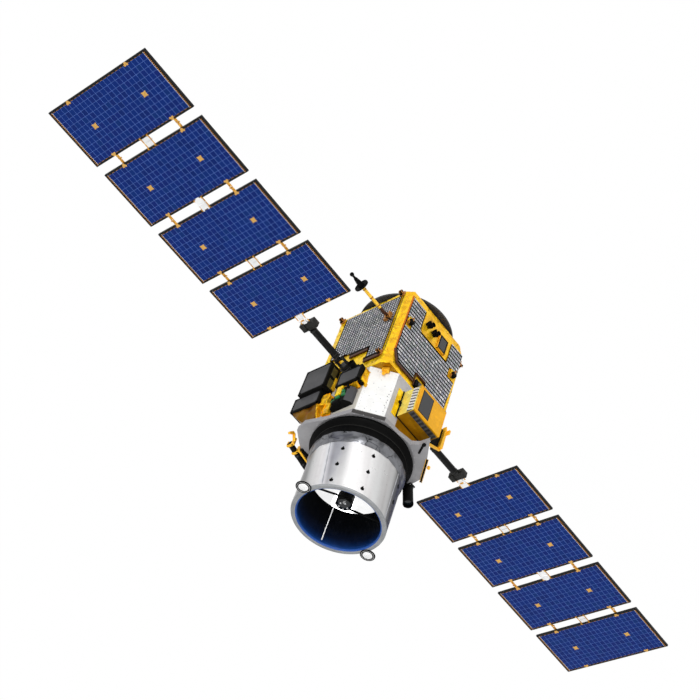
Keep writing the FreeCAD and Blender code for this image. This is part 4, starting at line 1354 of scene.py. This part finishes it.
class SATELLITE_OT_antenna_dressing(bpy.types.Operator):
    """Adds collars, sleeve, bracket and cup to the side antenna"""
    bl_idname = "satellite.antenna_dressing"
    bl_label = "Dress the antenna"

    def execute(self, context):
        low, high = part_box("antenna_disc")
        x, z = (low.x + high.x) / 2, (low.z + high.z) / 2
        y = low.y
        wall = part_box("left_radiator")[1].y
        cup = lathe([(0.0, 0.012), (0.03, 0.012), (0.08, 0.016), (0.088, 0.02), (0.09, 0.012), (0.088, -0.002), (0.05, -0.01),
                     (0.022, -0.016), (0.0, -0.016)], (x, y, z), (0, 1, 0), 36)
        dress(cup, "antenna_cup", "core", "black_paint", "black_paint")
        collars = []
        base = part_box("antenna_base")[1].y
        mast = (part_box("antenna_mast")[1].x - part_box("antenna_mast")[0].x) / 2
        for at in (base + 0.17, base + 0.3, y - 0.05):
            collars.append(lathe([(mast - 0.001, -0.008), (mast + 0.003, -0.007), (mast + 0.004, 0.0), (mast + 0.003, 0.007),
                                  (mast - 0.001, 0.008)], (x, at, z), (0, 1, 0), 24))
        dress(join(collars), "antenna_collars", "core", "gold_metal", "amber_bracket")
        sleeve = lathe([(mast - 0.001, 0.0), (mast + 0.002, 0.002), (mast + 0.002, 0.13), (mast - 0.001, 0.134)],
                       (x, base, z),
                       (0, 1, 0), 24)
        dress(sleeve, "antenna_sleeve", "core", "black_metal", "bronze_doubler")
        legs = []
        for dx, dz in ((-0.045, -0.05), (0.045, -0.05), (0.0, 0.07)):
            legs.append(drum((x + dx, wall, z + dz), (x, base + 0.05, z), 0.006, 0.001, 10))
        legs.append(slab([(x + 0.05, wall, z - 0.05), (x + 0.05, wall + 0.06, z - 0.03), (x + 0.05, wall + 0.06, z + 0.02),
                          (x + 0.05, wall, z + 0.07)], (0.01, 0, 0), 0.002))
        dress(join(legs), "antenna_legs", "core", "bronze_bracket", "amber_bracket")
        brace = drum((x + 0.01, base + 0.01, z + 0.05), (0.4, wall + 0.004, z + 0.1), 0.007, 0.001, 10)
        dress(brace, "antenna_brace", "core", "black_metal", "black_paint")
        return {"FINISHED"}


class SATELLITE_OT_booms(bpy.types.Operator):
    """Adds the drive flanges, boom collars and end blocks of both wings"""
    bl_idname = "satellite.booms"
    bl_label = "Dress the drives and booms"

    def execute(self, context):
        for side, sign in SIDES:
            low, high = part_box(f"{side}_drive_housing")
            x, z = (low.x + high.x) / 2, (low.z + high.z) / 2
            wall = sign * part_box("bus_body")[1].y
            end = high.y if sign > 0 else low.y
            flange = lathe([(0.071, 0.0), (0.098, 0.0), (0.1, 0.004), (0.1, 0.012), (0.071, 0.014), (0.071, 0.0)],
                           (x, wall, z), (0, sign, 0), 48)
            fins = [flange]
            for k in range(5):
                at = wall + sign * (0.03 + 0.016 * k)
                fins.append(lathe([(0.069, -0.003), (0.077, -0.002), (0.077, 0.002), (0.069, 0.003), (0.069, -0.003)],
                                  (x, at, z), (0, sign, 0), 48))
            bolts = []
            for i in range(8):
                turn = math.tau * i / 8
                at = Vector((x + 0.088 * math.cos(turn), wall + sign * 0.011, z + 0.088 * math.sin(turn)))
                bolts.append(drum(at, at + Vector((0, sign * 0.008, 0)), 0.006, 0.001, 6))
            dress(join(fins), f"{side}_drive_fins", "core", "black_metal", "charcoal_lid")
            dress(join(bolts), f"{side}_drive_bolts", "core", "black_metal", "machined_alloy")

            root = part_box(f"{side}_drive_fork")[1].y if sign > 0 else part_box(f"{side}_drive_fork")[0].y
            head_low, head_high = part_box(f"{side}_boom_head")
            near = head_low.y if sign > 0 else head_high.y
            hinge = (head_high.y - 0.009) if sign > 0 else (head_low.y + 0.009)
            face = near + sign * 0.12
            arm = f"{side}_boom_arm"
            collars = []
            for at in (root + sign * 0.035, root + sign * 0.07, near - sign * 0.02):
                collars.append(lathe([(0.0415, -0.008), (0.046, -0.006), (0.046, 0.006), (0.0415, 0.008), (0.0415, -0.008)],
                                     (x, at, z), (0, 1, 0), 32))
            dress(join(collars), f"{side}_boom_collars", arm, "black_metal", "black_anodised")

            parts = []
            for dx in (-1, 1):
                lobe = block(*span((x + dx * 0.04, x + dx * 0.104), (near + sign * 0.012, near + sign * 0.112),
                                   (z - 0.048, z + 0.036)), 0.006, 2)
                parts.append(lobe)
                parts.append(block(*span((x + dx * 0.052, x + dx * 0.092), (near + sign * 0.03, near + sign * 0.094),
                                         (z + 0.034, z + 0.039)), 0.002))
                for dy in (0.02, 0.104):
                    at = Vector((x + dx * 0.072, near + sign * dy, z + 0.036))
                    parts.append(drum(at, at + Vector((0, 0, 0.003)), 0.006, 0.001, 6))
            parts.append(block(*span((x - 0.046, x + 0.046), (near, near + sign * 0.12), (z - 0.036, z + 0.024)), 0.006, 2))
            parts.append(block(*span((x - 0.09, x + 0.09), (near + sign * 0.045, near + sign * 0.08), (z - 0.043, z + 0.026)),
                               0.005))
            head = join(parts)
            dress(head, f"{side}_boom_yoke", arm, "black_metal", "black_anodised")
            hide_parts(f"{side}_boom_head")
            tongue = [drum((x - 0.025, hinge, z + 0.035), (x + 0.025, hinge, z + 0.035), 0.009, 0.001, 16),
                      drum((x - 0.05, hinge, z + 0.035), (x + 0.05, hinge, z + 0.035), 0.004, 0.0005, 12)]
            for dx in (-0.054, 0.054):
                tongue.append(block(*span((x + dx - 0.006, x + dx + 0.006), (face - sign * 0.004, hinge - sign * 0.014),
                                          (z + 0.012, z + 0.018)), 0.002))
            dress(join(tongue), f"{side}_boom_tongue", arm, "gold_metal", "strap_gold")
            cover = join([block(*span((x - 0.047, x + 0.047), (face, hinge - sign * 0.013), (z + 0.013, z + 0.016)), 0.001),
                          block(*span((x - 0.025, x + 0.025), (face - sign * 0.008, hinge), (z + 0.026, z + 0.029)), 0.0008)])
            dress(cover, f"{side}_boom_sheet", arm, "white_paint", "strut_white")
        return {"FINISHED"}


def span(xs, ys, zs):
    """Lowest and highest corner from pairs in any order."""
    pairs = [sorted(pair) for pair in (xs, ys, zs)]
    return [pair[0] for pair in pairs], [pair[1] for pair in pairs]


class SATELLITE_OT_solar_cells(bpy.types.Operator):
    """Lays cells, border strips, pads and edge clips on every wing panel, and ribs on its back"""
    bl_idname = "satellite.solar_cells"
    bl_label = "Lay the solar cells"

    def execute(self, context):
        own = sizes()
        low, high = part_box("left_panel_1")
        edge_x, edge_y = 0.042, 0.03
        columns = max(1, round((high.x - low.x - 2 * edge_x) / own.cell_wide))
        rows = max(1, round((high.y - low.y - 2 * edge_y) / own.cell_long))
        top, base = high.z, low.z
        mid = ((low.x + high.x) / 2, (low.y + high.y) / 2)
        clear()
        bpy.ops.mesh.primitive_grid_add(x_subdivisions=columns, y_subdivisions=rows, size=1,
                                        location=(mid[0], mid[1], top + 0.0004))
        bpy.ops.transform.resize(value=(high.x - low.x - 2 * edge_x, high.y - low.y - 2 * edge_y, 1))
        settle()
        edit("FACE")
        bpy.ops.mesh.select_all(action="SELECT")
        bpy.ops.mesh.inset(thickness=own.cell_gap / 2, depth=0.0, use_individual=True)
        bpy.ops.mesh.extrude_faces_move(TRANSFORM_OT_shrink_fatten={"value": 0.0009})
        cells = done()

        bands, dots, lines = [], [], []
        for x, inward in ((low.x, 1), (high.x, -1)):
            bands.append(block(*span((x + inward * 0.016, x + inward * 0.041), (low.y + 0.01, high.y - 0.01),
                                     (top, top + 0.001)), 0.0004))
            for k in range(34):
                y = low.y + 0.016 + k * (high.y - low.y - 0.032) / 34
                dots.append(block(*span((x + inward * 0.0225, x + inward * 0.036), (y, y + 0.01), (top, top + 0.0024)),
                                  0.0008))
            lines.append(block(*span((x + inward * 0.038, x + inward * 0.0405), (low.y + 0.014, high.y - 0.014),
                                     (top, top + 0.0018)), 0.0004))
        for y in (low.y + 0.0245, high.y - 0.0245):
            for k in range(24):
                x = low.x + 0.05 + k * (high.x - low.x - 0.1) / 24
                dots.append(block((x, y - 0.0016, top), (x + 0.03, y + 0.0016, top + 0.0015), 0.0004))
        pads = []
        for x in (mid[0] - 0.385, mid[0] + 0.385):
            pads.append(block((x - 0.028, mid[1] - 0.028, top), (x + 0.028, mid[1] + 0.028, top + 0.0032), 0.0015))
            for turn in range(4):
                at = Vector((x, mid[1], top)) + Matrix.Rotation(turn * math.pi / 2, 3, "Z") @ Vector((0.0255, 0.0255, 0))
                pads.append(block(at - Vector((0.006, 0.006, 0)), at + Vector((0.006, 0.006, 0.0026)), 0.001))
            pads.append(lathe([(0.0, 0.006), (0.008, 0.006), (0.01, 0.003), (0.0, 0.0025)], (x, mid[1], top), (0, 0, 1), 12))
        for x in (mid[0] - 0.45, mid[0] + 0.45):
            for y, inward in ((low.y, 1), (high.y, -1)):
                pads.append(block(*span((x - 0.017, x + 0.017), (y, y + inward * 0.026), (top, top + 0.004)), 0.0015))
                for dx in (-1, 1):
                    pads.append(block(*span((x + dx * 0.006, x + dx * 0.028), (y + inward * 0.02, y + inward * 0.044),
                                            (top, top + 0.0048)), 0.0015))
                pads.append(block(*span((x - 0.01, x + 0.01), (y + inward * 0.026, y + inward * 0.038), (top, top + 0.0032)),
                                  0.001))
        ribs, harness = [], []
        for x in (mid[0] - 0.385, mid[0], mid[0] + 0.385):
            ribs.append(block((x - 0.02, low.y + 0.01, base - 0.003), (x + 0.02, high.y - 0.01, base), 0.0012))
        for y in (low.y + 0.02, high.y - 0.02):
            ribs.append(block((low.x + 0.01, y - 0.012, base - 0.003), (high.x - 0.01, y + 0.012, base), 0.0012))
        for x in (mid[0] + 0.06, mid[0] + 0.07, mid[0] - 0.06, mid[0] - 0.07):
            harness.append(block((x - 0.0025, low.y + 0.012, base - 0.0045), (x + 0.0025, high.y - 0.012, base), 0.001))
        for k in range(6):
            y = low.y + 0.07 + k * (high.y - low.y - 0.14) / 5
            harness.append(block((mid[0] - 0.09, y - 0.007, base - 0.0055), (mid[0] + 0.09, y + 0.007, base), 0.001))

        kinds = [(cells, "cells", "solar_cells", ("cell_glass", "cell_seam", "cell_row"), 0),
                 (join(bands), "edge_bands", "carbon_tube", ("edge_brown",), 35),
                 (join(dots), "edge_dots", "gold_metal", ("edge_amber",), 35),
                 (join(lines), "edge_lines", "white_paint", ("strut_white",), 35),
                 (join(pads), "pads", "gold_metal", ("pad_gold",), 35),
                 (join(ribs), "back_ribs", "carbon_tube", ("boom_laminate",), 35),
                 (join(harness), "back_harness", "gold_metal", ("strap_gold",), 35)]
        start = Vector(low)
        for piece, kind, slot, keys, smooth in kinds:
            for side, sign in SIDES:
                for i in range(4):
                    copy = moved_copy(piece, Vector(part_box(f"{side}_panel_{i + 1}")[0]) - start)
                    dress(copy, f"{kind}_{side}_{i + 1}", f"{side}_wing_{i + 1}", slot, *keys, smooth=smooth)
                    if kind == "cells":
                        points = copy.data.vertices
                        for face in copy.data.polygons:
                            xs, ys, zs = zip(*(points[k].co for k in face.vertices))
                            on_top = min(zs) > top + 0.001
                            face.material_index = 0 if on_top else (1 if max(ys) - min(ys) > max(xs) - min(xs) else 2)
                        tone = copy.data.attributes.new("cell_tone", "FLOAT", "FACE")
                        dice = random.Random(17 * i + 5 * sign)
                        tone.data.foreach_set("value", [dice.random() for face in copy.data.polygons])
            bpy.data.objects.remove(piece)
        return {"FINISHED"}


class SATELLITE_OT_hinge_tapes(bpy.types.Operator):
    """Fills the hinge leaves and adds the silver sheets and gold strips over each gap between panels"""
    bl_idname = "satellite.hinge_tapes"
    bl_label = "Fit the hinge sheets"

    def execute(self, context):
        for side, sign in SIDES:
            for i in range(4):
                low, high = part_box(f"{side}_panel_{i + 1}")
                body = f"{side}_wing_{i + 1}"
                x, z = (low.x + high.x) / 2, (low.z + high.z) / 2
                half = (high.z - low.z) / 2
                near, far = (low.y, high.y) if sign > 0 else (high.y, low.y)
                above = 1 if i % 2 == 0 else -1
                sheets, strips = [], []
                ends = [(far, sign, -above, True)] if i < 3 else []
                if i:
                    ends.append((near, -sign, above, False))
                for y, outward, face, inboard in ends:
                    reach = (y, y + outward * 0.0565)
                    over = (y - outward * 0.028, y + outward * 0.047)
                    leaf = (z + face * (half + 0.0003), z + face * (half + 0.0028))
                    sheets.append(block(*span((x - 0.046, x + 0.046), reach, (z + 0.001, z + 0.003)), 0.0006))
                    for dx in (-1, 1):
                        strips.append(block(*span((x + dx * 0.047, x + dx * 0.06), reach, (z, z + 0.005)), 0.0012))
                        strips.append(block(*span((x + dx * 0.045, x + dx * 0.063), (y - outward * 0.02, y + outward * 0.004),
                                                  (z + half - 0.002, z + half + 0.0035)), 0.0012))
                        strips.append(drum((x + dx * 0.054, y - outward * 0.012, z + half),
                                (x + dx * 0.054, y - outward * 0.012,
                                           z + half + 0.0048), 0.006, 0.001, 10))
                        at = x + dx * 0.45
                        if inboard:
                            for edge in (-1, 1):
                                strips.append(block(*span((at + edge * 0.0092, at + edge * 0.018), over, leaf), 0.0006))
                        else:
                            strips.append(block(*span((at - 0.0086, at + 0.0086), over, leaf), 0.0006))
                    if inboard:
                        for edge in (-1, 1):
                            sheets.append(block(*span((x + edge * 0.0255, x + edge * 0.046), over, leaf), 0.0006))
                    else:
                        sheets.append(block(*span((x - 0.0245, x + 0.0245), over, leaf), 0.0006))
                if i == 0:
                    reach = (near - sign * 0.045, near + sign * 0.02)
                    for dx in (-1, 1):
                        strips.append(block(*span((x + dx * 0.048, x + dx * 0.06), reach, (z + 0.0265, z + 0.0305)), 0.0012))
                        strips.append(block(*span((x + dx * 0.046, x + dx * 0.062), (near, near + sign * 0.024),
                                                  (z + half - 0.001, z + 0.028)), 0.002))
                    sheets.append(block(*span((x - 0.0245, x + 0.0245), (near - sign * 0.046, near + sign * 0.02),
                                              (z + 0.0262, z + 0.0288)), 0.0006))
                dress(join(sheets), f"gap_sheet_{side}_{i + 1}", body, "white_paint", "strut_white")
                dress(join(strips), f"gap_strips_{side}_{i + 1}", body, "gold_metal", "strap_gold")
        return {"FINISHED"}


class SATELLITE_OT_side_camera(bpy.types.Operator):
    """Adds rims, clamp and bar ends round the side camera and the black bar"""
    bl_idname = "satellite.side_camera"
    bl_label = "Dress the side camera"

    def execute(self, context):
        start, end = Vector((0.185, -0.64, 2.214)), Vector((0.262, -0.652, 2.5))
        axis = (end - start).normalized()
        hoops = []
        for share in (0.06, 0.97):
            at = start + (end - start) * share
            hoops.append(lathe([(0.059, -0.01), (0.062, -0.008), (0.062, 0.008), (0.059, 0.01), (0.059, -0.01)], at, axis,
                               32))
        dress(join(hoops), "side_camera_hoops", "core", "black_paint", "black_paint")
        deep = drum(end - axis * 0.046, end - axis * 0.042, 0.05, 0.001, 24)
        dress(deep, "side_camera_glass", "core", "dark_glass", "lens_glass")
        low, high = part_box("baffle_bracket")
        bolts = []
        for x in (low.x + 0.014, high.x - 0.014):
            for y in (low.y + 0.012, high.y - 0.012):
                bolts.append(drum((x, y, high.z - 0.001), (x, y, high.z + 0.007), 0.007, 0.001, 6))
        dress(join(bolts), "side_camera_bolts", "core", "black_metal", "machined_alloy")
        low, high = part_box("side_bar")
        radius = (high.x - low.x) / 2
        centre = (low.x + high.x) / 2
        a, b = Vector((centre, high.y, low.z + radius)), Vector((centre, low.y, high.z - radius))
        along = (b - a).normalized()
        ends = []
        for share in (0.06, 0.4, 0.66, 0.94):
            ends.append(lathe([(radius - 0.001, -0.014), (radius + 0.003, -0.01), (radius + 0.003, 0.01),
                               (radius - 0.001, 0.014)],
                              a + (b - a) * share, along, 24))
        dress(join(ends), "side_bar_bands", "core", "black_paint", "black_anodised")
        return {"FINISHED"}


class SATELLITE_OT_stage(bpy.types.Operator):
    """Sets the floor, lamps, surroundings and camera"""
    bl_idname = "satellite.stage"
    bl_label = "Set the stage"

    def execute(self, context):
        scene = bpy.context.scene
        clear()
        bpy.ops.mesh.primitive_plane_add(size=120, location=(0, 0, -0.0005))
        floor = bpy.context.object
        floor.name = "floor"
        pale = bpy.data.materials.new("matt_white_floor")
        pale.use_nodes = True
        tree = pale.node_tree
        shader = tree.nodes["Principled BSDF"]
        shader.inputs["Roughness"].default_value = 0.95
        shader.inputs["Base Color"].default_value = (0.88, 0.88, 0.88, 1)
        path = add(tree, "LightPath")
        seen = calc(tree, "MAXIMUM", calc(tree, "MAXIMUM", path.outputs["Is Camera Ray"], path.outputs["Is Glossy Ray"]),
                    path.outputs["Is Transmission Ray"])
        glow = add(tree, "Emission", {"Color": (1, 1, 1, 1), "Strength": 1.0})
        mix = add(tree, "MixShader", {0: calc(tree, "MULTIPLY", seen, 0.995), 1: shader.outputs[0], 2: glow.outputs[0]})
        tree.links.new(mix.outputs[0], tree.nodes["Material Output"].inputs["Surface"])
        floor.data.materials.append(pale)

        world = bpy.data.worlds.new("studio")
        scene.world = world
        world.use_nodes = True
        tree = world.node_tree
        up = add(tree, "SeparateXYZ", {"Vector": add(tree, "TexCoord").outputs["Generated"]}).outputs["Z"]
        light = level(tree, up, (0.0, 0.95), (0.3, 0.62), (0.62, 0.30), (1.0, 0.24))
        mirror = level(tree, up, (0.0, 1.0), (0.25, 0.85), (0.5, 0.8), (0.75, 0.95), (1.0, 1.0))
        path = add(tree, "LightPath")
        seen = calc(tree, "MAXIMUM", calc(tree, "MAXIMUM", path.outputs["Is Camera Ray"], path.outputs["Is Glossy Ray"]),
                    path.outputs["Is Transmission Ray"])
        tree.links.new(blend(tree, seen, light, mirror), tree.nodes["Background"].inputs["Color"])
        tree.nodes["Background"].inputs["Strength"].default_value = 1.0

        for name, direction, energy, soft in (("key", (0.75, 1.0, 0.1), 1.3, 12), ("fill", (0.56, 0.39, 0.73), 0.8, 40),
                                               ("top", (0.0, 0.0, 1.0), 1.3, 30)):
            turn = Vector(direction).to_track_quat("Z", "Y").to_euler()
            bpy.ops.object.light_add(type="SUN", rotation=turn)
            lamp = bpy.context.object
            lamp.name = name
            lamp.data.energy = energy
            lamp.data.angle = math.radians(soft)

        view = bpy.data.cameras.new("camera")
        camera = bpy.data.objects.new("camera", view)
        scene.collection.objects.link(camera)
        view.sensor_width = 36
        view.lens = LENS
        view.clip_end = 200
        right, down, ahead = (Vector(v) for v in CAMERA_AXES)
        turn = Matrix((right, -down, -ahead)).transposed().to_4x4()
        camera.matrix_world = Matrix.Translation(CAMERA_AT) @ turn
        scene.camera = camera
        scene.view_settings.view_transform = "Standard"
        return {"FINISHED"}


LENS = 74.214
CAMERA_AT = Vector((9.3449, 7.2958, 13.3622))
CAMERA_AXES = ((0.757, -0.6031, -0.25146), (-0.34166, -0.69337, 0.63443), (-0.55698, -0.39435, -0.73093))

STEPS = (SATELLITE_OT_frame_finishes, SATELLITE_OT_bus_blanket, SATELLITE_OT_radiator_tiles, SATELLITE_OT_bus_fittings,
         SATELLITE_OT_launch_ring_bolts, SATELLITE_OT_payload_walls, SATELLITE_OT_deck_dressing,
         SATELLITE_OT_barrel_dressing, SATELLITE_OT_optics, SATELLITE_OT_imager_dressing, SATELLITE_OT_wall_boxes,
         SATELLITE_OT_antenna_dressing, SATELLITE_OT_booms, SATELLITE_OT_solar_cells, SATELLITE_OT_hinge_tapes,
         SATELLITE_OT_side_camera, SATELLITE_OT_stage)


class SATELLITE_PT_panel(bpy.types.Panel):
    """Lists the satellite's pieces, sizes and colours"""
    bl_idname = "SATELLITE_PT_panel"
    bl_label = "Satellite"
    bl_space_type = "VIEW_3D"
    bl_region_type = "UI"
    bl_category = "Satellite"

    def draw(self, context):
        for group in (sizes(), colours()):
            for key in group.__annotations__:
                self.layout.prop(group, key)
        for step in STEPS:
            self.layout.operator(step.bl_idname)


CLASSES = (SatelliteSizes, SatelliteColours, *STEPS, SATELLITE_PT_panel)


def register():
    """Adds the classes to Blender."""
    for kind in CLASSES:
        bpy.utils.register_class(kind)
    bpy.types.Scene.satellite_sizes = bpy.props.PointerProperty(type=SatelliteSizes)
    bpy.types.Scene.satellite_colours = bpy.props.PointerProperty(type=SatelliteColours)


def unregister():
    """Takes the classes out again."""
    del bpy.types.Scene.satellite_sizes
    del bpy.types.Scene.satellite_colours
    for kind in reversed(CLASSES):
        bpy.utils.unregister_class(kind)


def main():
    """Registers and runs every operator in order."""
    register()
    for step in STEPS:
        group, name = step.bl_idname.split(".")
        getattr(getattr(bpy.ops, group), name)()
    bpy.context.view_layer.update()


if __name__ == "__main__":
    main()
